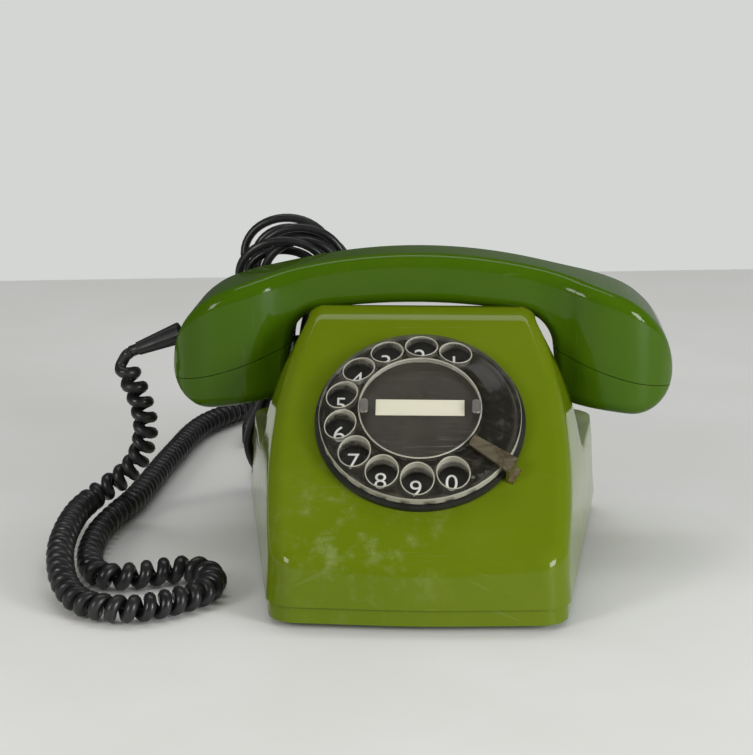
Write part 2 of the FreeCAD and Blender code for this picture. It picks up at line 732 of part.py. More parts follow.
def dial_frame_rear():
    plate = rod(PILLAR_CIRCLE + 2 * PILLAR_RADIUS, REAR_PLATE, REAR_PLATE + MOVEMENT_PLATE)
    plate = plate.cut(rod(SHAFT_RADIUS + RUNNING_CLEARANCE, REAR_PLATE, 0))
    for x, y in (idler_place(), governor_place()):
        plate = plate.cut(rod(ARBOR_RADIUS + RUNNING_CLEARANCE, REAR_PLATE, 0, x, y))
    return in_dial(plate)


def dial_pillars():
    low = REAR_PLATE + MOVEMENT_PLATE
    places = [polar(PILLAR_CIRCLE, angle) for angle in PILLAR_ANGLES]
    return Part.makeCompound([in_dial(rod(PILLAR_RADIUS, low, FRONT_PLATE, x, y)) for x, y in places])


def dial_bush():
    return in_dial(tube(BUSH_RADIUS, SHAFT_RADIUS + RUNNING_CLEARANCE, FRONT_PLATE, -SLIP))


def dial_shaft():
    return in_dial(rod(SHAFT_RADIUS, REAR_PLATE, SLIP))


def dial_hub():
    hub = rod(HUB_RADIUS, SLIP, WHEEL_FLOOR - WHEEL_WALL)
    return in_dial(hub.fuse(rod(SHAFT_RADIUS, SLIP, WHEEL_FLOOR)).removeSplitter())


def dial_screws():
    screws = []
    for x, y in dial_screw_places():
        head = rod(DIAL_SCREW_HEAD_RADIUS, PLATE_HEIGHT, PLATE_HEIGHT + DIAL_SCREW_HEAD, x, y)
        shank = rod(DIAL_SCREW_RADIUS, FRONT_PLATE, PLATE_HEIGHT, x, y)
        screws.append(in_dial(head.fuse(shank).removeSplitter()))
    return Part.makeCompound(screws)


def gear(teeth, module, bore, low, high, tooth_angle):
    """A spur gear with straight-sided teeth; one tooth points along tooth_angle."""
    step = 360.0 / teeth
    root = module * (teeth / 2 - TOOTH_DEPTH)
    tip = module * (teeth / 2 + TOOTH_RISE)
    half = TOOTH_SHARE * step / 2
    wide, narrow = TOOTH_ROOT_SHARE * half, TOOTH_TIP_SHARE * half
    points = []
    for index in range(teeth):
        middle = tooth_angle + step * index
        for radius, angle in ((root, -wide), (tip, -narrow), (tip, narrow), (root, wide)):
            x, y = polar(radius, middle + angle)
            points.append(V(x, y, low))
    solid = Part.Face(Part.makePolygon(points + points[:1])).extrude(V(0, 0, high - low))
    return solid.cut(rod(bore, low, high))


def gap_towards(angle, teeth):
    """The tooth angle that leaves a gap pointing along an angle."""
    return angle + 180.0 / teeth


def main_gear():
    high = MAIN_GEAR_LOW + GEAR_THICKNESS
    tooth_angle = gap_towards(IDLER_ANGLE, MAIN_TEETH)
    return in_dial(gear(MAIN_TEETH, MAIN_MODULE, SHAFT_RADIUS, MAIN_GEAR_LOW, high, tooth_angle))


def pulse_cam():
    cam = tube(CAM_RADIUS, SHAFT_RADIUS, CAM_LOW, CAM_LOW + GEAR_THICKNESS)
    for index in range(HOLE_COUNT):
        x, y = polar(CAM_RADIUS, FIRST_HOLE_ANGLE + HOLE_STEP * index)
        cam = cam.cut(rod(CAM_NOTCH_RADIUS, CAM_LOW, CAM_LOW + GEAR_THICKNESS, x, y))
    return in_dial(cam)


def main_spring():
    """A flat spiral of half circles, each half a pitch wider than the last."""
    halves = 2 * SPRING_TURNS
    shift = SPRING_PITCH / 2
    inner_edges = []
    outer_edges = []
    for index in range(halves):
        centre = shift if index % 2 else 0
        side = -1 if index % 2 else 1
        for offset, edges in ((-SPRING_STRIP / 2, inner_edges), (SPRING_STRIP / 2, outer_edges)):
            radius = SPRING_INNER_RADIUS + SPRING_STRIP / 2 + index * shift + offset
            ends = [V(centre + side * radius, 0, SPRING_LOW), V(centre - side * radius, 0, SPRING_LOW)]
            edges.append(Part.Arc(ends[0], V(centre, side * radius, SPRING_LOW), ends[1]).toShape())
    caps = [line(inner_edges[0].Vertexes[0].Point, outer_edges[0].Vertexes[0].Point),
            line(inner_edges[-1].Vertexes[-1].Point, outer_edges[-1].Vertexes[-1].Point)]
    wire = Part.Wire(Part.__sortEdges__(inner_edges + outer_edges + caps))
    return in_dial(Part.Face(wire).extrude(V(0, 0, SPRING_WIDTH)))


def moved(shape, place):
    shape.translate(V(place[0], place[1], 0))
    return shape


def cut_arbor(teeth, module, low, tooth_angle, place):
    """An arbor with a pinion cut on it."""
    pinion = gear(teeth, module, ARBOR_RADIUS, low, low + GEAR_THICKNESS, tooth_angle)
    arbor = rod(ARBOR_RADIUS, REAR_PLATE, FRONT_PLATE + MOVEMENT_PLATE)
    return in_dial(moved(pinion.fuse(arbor).removeSplitter(), place))


def idler_arbor():
    return cut_arbor(IDLER_PINION_TEETH, MAIN_MODULE, MAIN_GEAR_LOW, IDLER_ANGLE + 180, idler_place())


def idler_gear():
    high = IDLER_GEAR_LOW + GEAR_THICKNESS
    tooth_angle = gap_towards(GOVERNOR_ANGLE, IDLER_TEETH)
    wheel = gear(IDLER_TEETH, IDLER_MODULE, ARBOR_RADIUS, IDLER_GEAR_LOW, high, tooth_angle)
    return in_dial(moved(wheel, idler_place()))


def governor_arbor():
    tooth_angle = GOVERNOR_ANGLE + 180
    return cut_arbor(GOVERNOR_PINION_TEETH, IDLER_MODULE, IDLER_GEAR_LOW, tooth_angle, governor_place())


def governor_weights():
    low = IDLER_GEAR_LOW - GEAR_GAP - GOVERNOR_HEIGHT
    corner = V(GOVERNOR_RADIUS, GOVERNOR_RADIUS / 2, low)
    bar = box(V(-corner.x, -corner.y, low), corner + V(0, 0, GOVERNOR_HEIGHT))
    bar = bar.common(tube(GOVERNOR_RADIUS, ARBOR_RADIUS, low, low + GOVERNOR_HEIGHT))
    return in_dial(moved(bar, governor_place()))


def governor_cup():
    inner = GOVERNOR_RADIUS + CUP_CLEARANCE
    high = IDLER_GEAR_LOW - GEAR_GAP
    return in_dial(tube(inner + CUP_WALL, inner, REAR_PLATE + MOVEMENT_PLATE, high, *governor_place()))


def pulse_contacts():
    low = REAR_PLATE + MOVEMENT_PLATE
    start = CAM_RADIUS + CONTACT_GAP
    pitch = 4 * CONTACT_STRIP
    block = box(V(start, -2 * CAM_RADIUS, low), V(start + 3 * pitch, -CAM_RADIUS, low + CONTACT_WIDTH))
    for index in range(3):
        x = start + pitch * (index + 0.5)
        strip = box(V(x, -2 * CAM_RADIUS, low), V(x + CONTACT_STRIP, CAM_RADIUS / 2, low + CONTACT_WIDTH))
        block = block.fuse(strip)
    return in_dial(block.removeSplitter())


# Handset: made straight over the cradle, then laid as it lies, a little turned

HANDSET_LIE = FreeCAD.Placement(V(0, 0, 0), FreeCAD.Rotation(V(0, 0, 1), HANDSET_TURN), V(0, HANDSET_Y, 0))


def laid(shape):
    return shape.transformed(HANDSET_LIE.toMatrix(), True)


def handset_arcs():
    """The arcs of the right half of the front outline: back, end, cap corner, underside and arch."""
    span = (HANDSET_LENGTH / 2 - END_RADIUS) / (1 - END_RADIUS / BACK_RADIUS)
    top_turn = math.degrees(math.asin(span / BACK_RADIUS))
    under_turn = math.degrees(math.asin(UNDER_HALF_SPAN / UNDER_RADIUS))
    back, heading = arc_from((0, HANDSET_TOP), 0, BACK_RADIUS, -top_turn)
    end, heading = arc_from(back[-1], heading, END_RADIUS, top_turn - 90)
    corner, heading = arc_from(end[-1], heading, CAP_CORNER_RADIUS, -90 - CAP_TILT)
    under, heading = arc_from((0, UNDERSIDE), 0, UNDER_RADIUS, -under_turn)
    arch, heading = arc_from(under[-1], heading, ARCH_RADIUS, under_turn + INNER_WALL_LEAN - 90)
    return back, end, corner, under, arch


def cap_corner():
    """Where the inner wall of an end would meet the flat face of its cap."""
    corner, arch = handset_arcs()[2], handset_arcs()[4]
    (face_x, face_z), (wall_x, wall_z) = corner[-1], arch[-1]
    wall_slope = tan(INNER_WALL_LEAN)
    drop = (wall_z - face_z - (face_x - wall_x) * tan(CAP_TILT)) / (1 - wall_slope * tan(CAP_TILT))
    return wall_x + drop * wall_slope, wall_z - drop


def handset_outline():
    back, end, corner, under, arch = handset_arcs()
    turn = 90 - INNER_WALL_LEAN - CAP_TILT
    reach = CAP_INNER_RADIUS * tan(turn / 2)
    x, z = cap_corner()
    start = (x - reach * sin(INNER_WALL_LEAN), z + reach * cos(INNER_WALL_LEAN))
    inner, heading = arc_from(start, INNER_WALL_LEAN - 90, CAP_INNER_RADIUS, turn)
    right = [back, end, corner, [corner[-1], inner[-1]], inner[::-1]]
    right += [[start, arch[-1]], arch[::-1], under[::-1]]
    return right + mirrored(right, -1, 1)


def handset_plan():
    """The outline from above: a straight handle that swells into two rounded ends."""
    rise = (CAP_DEPTH - HANDLE_DEPTH) / 2
    turn = math.degrees(math.acos(1 - rise / (2 * SWELL_RADIUS)))
    start = (SWELL_START, HANDLE_DEPTH / 2)
    bend_out, heading = arc_from(start, 0, SWELL_RADIUS, turn)
    bend_back, heading = arc_from(bend_out[-1], heading, SWELL_RADIUS, -turn)
    reach = HANDSET_LENGTH / 2 + PLAN_OVERSHOOT
    shoulder = (reach - PLAN_END_RADIUS, CAP_DEPTH / 2)
    corner, heading = arc_from(shoulder, 0, PLAN_END_RADIUS, -90)
    quarter = [bend_out, bend_back, [bend_back[-1], shoulder], corner]
    half = quarter + [[corner[-1], (reach, -corner[-1][1])]] + mirrored(quarter, 1, -1)
    side = HANDLE_DEPTH / 2
    handle = [[(-SWELL_START, side), start], [(SWELL_START, -side), (-SWELL_START, -side)]]
    return half + mirrored(half, -1, 1) + handle


def handset_block(inset):
    front = outline_of(handset_outline(), lambda u, v: V(u, HANDSET_Y - CAP_DEPTH, v))
    plan = outline_of(handset_plan(), lambda u, v: V(u, HANDSET_Y + v, 0))
    if inset:
        front = front.makeOffset2D(-inset, 2)
        plan = plan.makeOffset2D(-inset, 2)
    return Part.Face(front).extrude(V(0, 2 * CAP_DEPTH, 0)).common(Part.Face(plan).extrude(V(0, 0, FAR)))


def below_seam(side, drop):
    """All that lies under the curved seam between an end of the handset and its cap."""
    start = (HANDSET_LENGTH / 2, SEAM_HEIGHT - drop)
    seam = arc_from(start, 180 - SEAM_TILT, SEAM_RADIUS, -SEAM_TURN)[0]
    outside = (FAR, start[1] - (FAR - start[0]) * tan(SEAM_TILT))
    inside = (seam[-1][0], -FAR)
    edges = [[outside, start], seam, [seam[-1], inside], [inside, (FAR, -FAR)], [(FAR, -FAR), outside]]
    face = Part.Face(outline_of(edges, lambda u, v: V(side * u, HANDSET_Y - CAP_DEPTH, v)))
    return face.extrude(V(0, 2 * CAP_DEPTH, 0))


def handset_walls():
    """The hollow moulding of the whole handset, before it is split into shell and caps."""
    block = handset_block(0)
    edges = []
    for edge in block.Edges:
        direction = edge.tangentAt(edge.FirstParameter)
        straight = edge.Curve.TypeId == "Part::GeomLine"
        if not (straight and max(abs(direction.y), abs(direction.z)) > cos(1)):
            edges.append(edge)
    return block.makeFillet(HANDSET_EDGE_RADIUS, edges).cut(handset_block(HANDSET_WALL))


def handset_shell(walls):
    shell = walls.cut(below_seam(1, 0)).cut(below_seam(-1, 0))
    return shell.cut(boot_cone(SLIP))


def cap_axis(side):
    """The middle of a cap's flat face and the direction into the cap."""
    face_x, face_z = handset_arcs()[2][-1]
    inner_x, inner_z = cap_corner()
    out = (face_x + inner_x) / 2 + CAPSULE_SHIFT
    middle = V(side * out, HANDSET_Y, face_z + (face_x - out) * tan(CAP_TILT))
    return middle, V(side * sin(CAP_TILT), 0, cos(CAP_TILT))


def on_cap(shape, side):
    """Move a shape made on Z to a cap, with Z pointing into it."""
    middle, inward = cap_axis(side)
    turn = FreeCAD.Placement(middle, FreeCAD.Rotation(V(0, 0, 1), inward))
    return shape.transformed(turn.toMatrix(), True)


def handset_cap(walls, side):
    cap = walls.common(below_seam(side, SEAM_GAP))
    holes = []
    for radius, count in zip(SOUND_HOLE_RINGS, SOUND_HOLES_PER_RING):
        for index in range(count):
            x, y = polar(radius, 360 * index / count)
            holes.append(on_cap(rod(SOUND_HOLE_RADIUS, -HANDSET_WALL, 2 * HANDSET_WALL, x, y), side))
    return cap.cut(holes)


def capsule(side):
    low = HANDSET_WALL + CAPSULE_LIFT
    body = rod(CAPSULE_RADIUS, low, low + CAPSULE_HEIGHT)
    step = rod(CAPSULE_STEP_RADIUS, low, low + CAPSULE_HEIGHT + CAPSULE_STEP)
    return on_cap(body.fuse(step).removeSplitter(), side)


def capsule_contacts():
    low = HANDSET_WALL + CAPSULE_LIFT + CAPSULE_HEIGHT + CAPSULE_STEP
    half = CONTACT_BLOCK / 2
    block = box(V(-half, -half, low), V(half, half, low + half))
    return Part.makeCompound([on_cap(block, side) for side in (1, -1)])


def boot_root():
    """Where the sleeve leaves the end of the handset, and the way it points."""
    end = handset_arcs()[1][-1]
    rise = BOOT_HEIGHT - end[1]
    x = HANDSET_LENGTH / 2 - END_RADIUS + math.sqrt(END_RADIUS ** 2 - rise ** 2)
    return V(-x, HANDSET_Y, BOOT_HEIGHT), V(-cos(BOOT_DROP_ANGLE), 0, -sin(BOOT_DROP_ANGLE))


def boot_cone(grow):
    root, way = boot_root()
    start = root - way * BOOT_INSIDE
    taper = (BOOT_ROOT_RADIUS - BOOT_TIP_RADIUS) / BOOT_LENGTH
    start_radius = BOOT_ROOT_RADIUS + taper * BOOT_INSIDE + grow
    return Part.makeCone(start_radius, BOOT_TIP_RADIUS + grow, BOOT_INSIDE + BOOT_LENGTH, start, way)


# Hook switch

def underside_at(x):
    return UNDERSIDE - UNDER_RADIUS + math.sqrt(UNDER_RADIUS ** 2 - x ** 2)


CROSSBAR_TOP = TROUGH_FLOOR - WALL - CROSSBAR_DEPTH


def plunger(side, grow):
    x = side * HOOK_HALF_SPACING
    top = underside_at(HOOK_HALF_SPACING + PLUNGER_LENGTH / 2) - HOOK_GAP
    half = V(PLUNGER_LENGTH / 2 + grow, PLUNGER_WIDTH / 2 + grow, 0)
    low = V(x, HANDSET_Y, CROSSBAR_TOP) - half
    high = V(x, HANDSET_Y, top + grow) + half
    solid = box(low, high)
    upright = [edge for edge in solid.Edges if edge.BoundBox.ZLength > CROSSBAR_DEPTH]
    return solid.makeFillet(PLUNGER_WIDTH / 3 + grow, upright)


def hook_crossbar():
    half = HOOK_HALF_SPACING + PLUNGER_LENGTH / 2
    return box(V(-half, HANDSET_Y - CROSSBAR_WIDTH / 2, CROSSBAR_TOP - CROSSBAR_HEIGHT),
               V(half, HANDSET_Y + CROSSBAR_WIDTH / 2, CROSSBAR_TOP))


def hook_post_y():
    return HANDSET_Y - CROSSBAR_WIDTH / 2 - SPRINGSET_WIDTH


def hook_bracket():
    x = HOOK_HALF_SPACING
    y = hook_post_y()
    top = CROSSBAR_TOP - CROSSBAR_HEIGHT - SPRINGSET_STRIP - SEAM_GAP
    upright = box(V(x - SPRINGSET_WIDTH, y - RINGER_PLATE, DECK), V(x + SPRINGSET_WIDTH, y, top))
    foot_front = V(x - SPRINGSET_WIDTH, y - 2 * SPRINGSET_WIDTH, DECK)
    foot = box(foot_front, V(x + SPRINGSET_WIDTH, y, DECK + RINGER_PLATE))
    return upright.fuse(foot).removeSplitter()


def hook_contacts():
    x = HOOK_HALF_SPACING
    y = hook_post_y()
    top = CROSSBAR_TOP - CROSSBAR_HEIGHT - SPRINGSET_STRIP - SEAM_GAP
    half = SPRINGSET_WIDTH / 2
    stack = box(V(x - half, y, top - 3 * SPRINGSET_WIDTH), V(x + half, y + half, top))
    for index in range(3):
        z = top - SPRINGSET_STRIP - index * SPRINGSET_WIDTH
        stack = stack.fuse(box(V(x - half, y, z), V(x + half, y + SPRINGSET_LENGTH / 2, z + SPRINGSET_STRIP)))
    return stack.removeSplitter()


# Ringer

GONG_Y = BACK_Y - GONG_FROM_BACK
COIL_Y = GONG_Y - COIL_FROM_GONGS
COIL_Z = DECK + RINGER_PLATE + COIL_RADIUS + RINGER_PLATE
ARMATURE_Y = COIL_Y + COIL_LENGTH / 2 + ARMATURE_GAP + ARMATURE_THICKNESS / 2
GONG_LOW = DECK + RINGER_PLATE + GONG_LIFT


def lengthwise_rod(radius, start, end, x, z):
    """A level cylinder along Y."""
    return Part.makeCylinder(radius, end - start, V(x, start, z), V(0, 1, 0))


def ringer_frame():
    front = COIL_Y - COIL_LENGTH / 2 - ARMATURE_THICKNESS
    half = COIL_SPACING / 2 + COIL_RADIUS
    frame = box(V(-half, front, DECK), V(half, GONG_Y, DECK + RINGER_PLATE))
    gong_half = GONG_SPACING / 2 + GONG_POST_RADIUS
    low = V(-gong_half, GONG_Y - YOKE_WIDTH, DECK)
    high = V(gong_half, GONG_Y + YOKE_WIDTH, DECK + RINGER_PLATE)
    frame = frame.fuse(box(low, high))
    frame = frame.fuse(box(V(-half, front, DECK), V(half, front + ARMATURE_THICKNESS, COIL_Z + COIL_RADIUS)))
    for side in (1, -1):
        x = side * COIL_SPACING / 2
        frame = frame.fuse(lengthwise_rod(COIL_CORE_RADIUS, front, COIL_Y + COIL_LENGTH / 2, x, COIL_Z))
        top = GONG_LOW + GONG_HEIGHT
        frame = frame.fuse(rod(GONG_POST_RADIUS, DECK, top, side * GONG_SPACING / 2, GONG_Y))
    pin_top = COIL_Z + ARMATURE_HEIGHT
    frame = frame.fuse(rod(CLAPPER_PIN_RADIUS, DECK, pin_top, 0, ARMATURE_Y))
    return frame.removeSplitter()


def ringer_coils():
    start = COIL_Y - COIL_LENGTH / 2
    coils = []
    for side in (1, -1):
        x = side * COIL_SPACING / 2
        body = lengthwise_rod(COIL_RADIUS, start, start + COIL_LENGTH, x, COIL_Z)
        coils.append(body.cut(lengthwise_rod(COIL_CORE_RADIUS, start, start + COIL_LENGTH, x, COIL_Z)))
    return Part.makeCompound(coils)


def ringer_magnet():
    half = COIL_SPACING / 2 - COIL_RADIUS - SEAM_GAP
    start = COIL_Y - COIL_LENGTH / 2
    return box(V(-half, start, DECK + RINGER_PLATE), V(half, start + MAGNET_LENGTH, COIL_Z + COIL_RADIUS))


def gong(side, height):
    shoulder = height - GONG_SHOULDER_DROP
    skirt = height / 2
    profile = [(GONG_POST_RADIUS, height), (GONG_CROWN_RADIUS, height), (GONG_SHOULDER_RADIUS, shoulder),
               (GONG_SKIRT_RADIUS, skirt), (GONG_RADIUS, 0)]
    inside = [(GONG_RADIUS - GONG_WALL, 0), (GONG_SKIRT_RADIUS - GONG_WALL, skirt - GONG_WALL),
              (GONG_SHOULDER_RADIUS - GONG_WALL, shoulder - GONG_WALL),
              (GONG_CROWN_RADIUS, height - GONG_WALL), (GONG_POST_RADIUS, height - GONG_WALL)]
    bowl = revolved(profile + inside)
    bowl.translate(V(side * GONG_SPACING / 2, GONG_Y, GONG_LOW + GONG_HEIGHT - height))
    return bowl


def gong_screws():
    low = GONG_LOW + GONG_HEIGHT
    places = [(side * GONG_SPACING / 2, GONG_Y) for side in (1, -1)]
    return Part.makeCompound([rod(GONG_SCREW_RADIUS, low, low + GONG_SCREW_HEIGHT, x, y) for x, y in places])


def clapper():
    half = COIL_SPACING / 2 + COIL_CORE_RADIUS
    bar = box(V(-half, ARMATURE_Y - ARMATURE_THICKNESS / 2, COIL_Z - ARMATURE_HEIGHT / 2),
              V(half, ARMATURE_Y + ARMATURE_THICKNESS / 2, COIL_Z + ARMATURE_HEIGHT / 2))
    sleeve = CLAPPER_PIN_RADIUS + CLAPPER_PIN_GAP
    body = bar.fuse(rod(sleeve, COIL_Z - ARMATURE_HEIGHT / 2, COIL_Z + ARMATURE_HEIGHT / 2, 0, ARMATURE_Y))
    body = body.fuse(lengthwise_rod(CLAPPER_WIRE_RADIUS, ARMATURE_Y, GONG_Y, 0, COIL_Z))
    ball = Part.makeSphere(CLAPPER_BALL_RADIUS, V(0, GONG_Y, COIL_Z))
    body = body.fuse(ball)
    bore = rod(CLAPPER_PIN_RADIUS + RUNNING_CLEARANCE, DECK, COIL_Z + 2 * ARMATURE_HEIGHT, 0, ARMATURE_Y)
    return body.cut(bore).removeSplitter()


# Circuit board

BOARD_TOP = DECK + BOARD_LIFT + BOARD_THICKNESS
BOARD_FRONT = FRONT_Y + BOARD_FROM_FRONT
BOARD_BACK = BOARD_FRONT + BOARD_LENGTH


def board_post_places():
    x = BOARD_WIDTH / 2 - BOARD_POST_INSET
    rows = BOARD_FRONT + BOARD_POST_INSET, BOARD_BACK - BOARD_POST_INSET
    return [(side * x, y) for side in (1, -1) for y in rows]


def circuit_board():
    half = BOARD_WIDTH / 2
    return box(V(-half, BOARD_FRONT, DECK + BOARD_LIFT), V(half, BOARD_BACK, BOARD_TOP))


def board_piece(size, x, back):
    """A block that stands on the board, with its back face at a place along it."""
    return box(V(x - size[0] / 2, back - size[1], BOARD_TOP), V(x + size[0] / 2, back, BOARD_TOP + size[2]))


def terminal_block():
    return board_piece(TERMINAL_BOX, 0, BOARD_FRONT + BOARD_POST_INSET + TERMINAL_BOX[1])


def terminal_screws():
    low = BOARD_TOP + TERMINAL_BOX[2]
    y = BOARD_FRONT + BOARD_POST_INSET + TERMINAL_BOX[1] / 2
    pitch = TERMINAL_BOX[0] / TERMINAL_COUNT
    places = [pitch * (index + 0.5) - TERMINAL_BOX[0] / 2 for index in range(TERMINAL_COUNT)]
    high = low + TERMINAL_SCREW_HEIGHT
    return Part.makeCompound([rod(TERMINAL_SCREW_RADIUS, low, high, x, y) for x in places])


# Cords

def gland_rod(x, radius):
    start = back_y(GLAND_HEIGHT) - GLAND_INSIDE
    return lengthwise_rod(radius, start, BACK_Y + GLAND_OUTSIDE, x, GLAND_HEIGHT)


def tangent_arc(start, heading, end):
    """The arc that leaves a point along a heading and reaches another point."""
    chord = end - start
    across = chord - heading * chord.dot(heading)
    if across.Length < 1e-6 * chord.Length:
        return line(start, end)
    radius = chord.dot(chord) / (2 * across.Length)
    centre = start + across.normalize() * radius
    out = (start - centre) + (end - centre)
    if chord.dot(heading) < 0:
        out = out * -1
    if out.Length < 1e-6 * radius:
        out = heading
    return Part.Arc(start, centre + out.normalize() * radius, end).toShape()


def biarc(start, start_way, end, end_way):
    """Two tangent arcs between two points with given headings."""
    gap = end - start
    both = start_way + end_way
    a = 2 * (1 - start_way.dot(end_way))
    b = 2 * gap.dot(both)
    c = -gap.dot(gap)
    reach = -c / b if a < 1e-9 else (-b + math.sqrt(b * b - 4 * a * c)) / (2 * a)
    first = start + start_way * reach
    second = end - end_way * reach
    joint = (first + second) * 0.5
    way = (second - first).normalize()
    return [tangent_arc(start, start_way, joint), tangent_arc(joint, way, end)]


def wound_tube(points, ways, radius, name):
    """One unbroken tube through points with headings; prints its gap to itself and its volume."""
    edges = []
    for index in range(len(points) - 1):
        edges += biarc(points[index], ways[index], points[index + 1], ways[index + 1])
    path = Part.Wire(edges)
    ring = Part.Wire(Part.makeCircle(radius, points[0], ways[0]))
    solid = path.makePipeShell([ring], True, False)
    share = solid.Volume / (math.pi * radius ** 2 * path.Length)
    tightest = min(edge.Curve.Radius for edge in edges if edge.Curve.TypeId == "Part::GeomCircle")
    print(name, "length", round(path.Length), "least gap", round(least_gap(edges, radius), 2),
          "tightest arc", round(tightest, 2), "volume share", round(share, 4), "valid", solid.isValid())
    return solid


def least_gap(edges, radius):
    """The least distance between the tube and itself, from points along its path."""
    spacing = radius / 2
    points = []
    along = 0.0
    for edge in edges:
        count = max(2, int(edge.Length / spacing))
        for point in edge.discretize(Number=count + 1)[:-1]:
            points.append((along, point))
            along += edge.Length / count
    cell = 4 * radius
    cells = {}
    for at, point in points:
        key = (int(point.x // cell), int(point.y // cell), int(point.z // cell))
        cells.setdefault(key, []).append((at, point))
    least = cell
    near = (-1, 0, 1)
    for at, point in points:
        key = (int(point.x // cell), int(point.y // cell), int(point.z // cell))
        for i in near:
            for j in near:
                for k in near:
                    for other_at, other in cells.get((key[0] + i, key[1] + j, key[2] + k), ()):
                        if other_at - at > 4 * radius:
                            least = min(least, (other - point).Length)
    return least - 2 * radius


def cord_tube(points, radius, name):
    """A plain cord: straight runs joined by tangent arcs as large as the runs allow."""
    edges = []
    radii = []
    at = points[0]
    for before, here, after in zip(points, points[1:], points[2:]):
        back = (before - here).normalize()
        ahead = (after - here).normalize()
        half_turn = (math.pi - back.getAngle(ahead)) / 2
        reach = 0.45 * min((before - here).Length, (after - here).Length)
        bend = reach / math.tan(half_turn)
        middle = here + (back + ahead).normalize() * (bend / math.cos(half_turn) - bend)
        start, end = here + back * reach, here + ahead * reach
        edges += [line(at, start), Part.Arc(start, middle, end).toShape()]
        at = end
        radii.append(round(bend, 1))
    edges.append(line(at, points[-1]))
    path = Part.Wire(edges)
    ring = Part.Wire(Part.makeCircle(radius, points[0], points[1] - points[0]))
    solid = path.makePipeShell([ring], True, False)
    share = solid.Volume / (math.pi * radius ** 2 * path.Length)
    print(name, "length", round(path.Length), "radii", radii, "volume share", round(share, 4))
    return solid


# The curly cord's middle line, chosen by eye from how it lies: it hangs from the handset, runs outside
# along the table to the front, turns round in a loose fold, comes back inside and goes away to the back.
HANG = [V(-127.6, 38.2, 74.9), V(-125.7, 38.6, 69.4), V(-122.7, 39.2, 63.1), V(-120.5, 40.0, 56.3),
        V(-119.1, 41.0, 49.4), V(-119.0, 42.3, 42.4), V(-120.6, 43.8, 35.2), V(-123.3, 45.0, 28.8),
        V(-127.3, 45.6, 23.4), V(-132.6, 45.8, 19.0), V(-138.8, 45.2, 14.8)]
OUTER = [V(-143.6, 41.5, 11.6), V(-146.0, 28.0, 11.6), V(-146.4, 12.0, 12.0), V(-146.0, -5.0, 12.0),
         V(-144.8, -22.0, 11.5), V(-142.2, -38.0, 10.2), V(-138.2, -53.0, 8.4), V(-133.2, -64.5, 6.8)]
LOWER = [V(-127.2, -72.4, 6.0), V(-120.8, -76.6, 6.0), V(-113.6, -78.9, 6.0), V(-106.8, -79.1, 6.0),
         V(-100.1, -75.9, 6.0), V(-93.9, -71.2, 6.0)]
FOLD = [V(-88.4, -66.6, 6.0), V(-83.2, -60.6, 6.0), V(-80.2, -52.6, 6.0), V(-80.4, -43.6, 6.0),
        V(-84.2, -35.8, 6.0), V(-90.4, -32.2, 6.0)]
UPPER = [V(-97.4, -33.6, 6.0), V(-104.0, -37.2, 6.0), V(-110.6, -40.8, 6.0), V(-117.4, -43.6, 6.0)]
INNER = [V(-124.2, -42.6, 6.0), V(-129.8, -35.2, 6.0), V(-133.4, -22.0, 6.0), V(-135.2, -6.0, 6.0),
         V(-135.6, 11.0, 6.0), V(-134.2, 27.0, 6.0)]
AWAY = [V(-131.4, 42.0, 6.0), V(-128.4, 55.4, 6.0), V(-126.2, 73.8, 6.0), V(-124.4, 92.9, 6.0),
        V(-122.4, 118.0, 6.0), V(-119.5, 142.7, 6.0), V(-117.0, 168.8, 6.0), V(-112.5, 190.3, 6.0),
        V(-105.1, 206.7, 6.0), V(-95.7, 222.0, 5.6)]
TAIL = [V(-86.0, 239.0, 3.6), V(-77.0, 254.0, 2.0), V(-63.0, 260.0, 2.0), V(-49.0, 252.0, 2.0),
        V(-43.0, 232.0, 2.0), V(-42.0, 200.0, 2.0), V(-43.0, 165.0, 2.0), V(-41.0, 140.0, 2.0),
        V(-33.0, 123.0, 2.6), V(-25.0, 113.5, 7.4)]


def smooth_points(points, count):
    """Evenly spaced points of the smooth curve through some points."""
    curve = Part.BSplineCurve()
    curve.interpolate(points)
    return curve.toShape().discretize(Number=count)


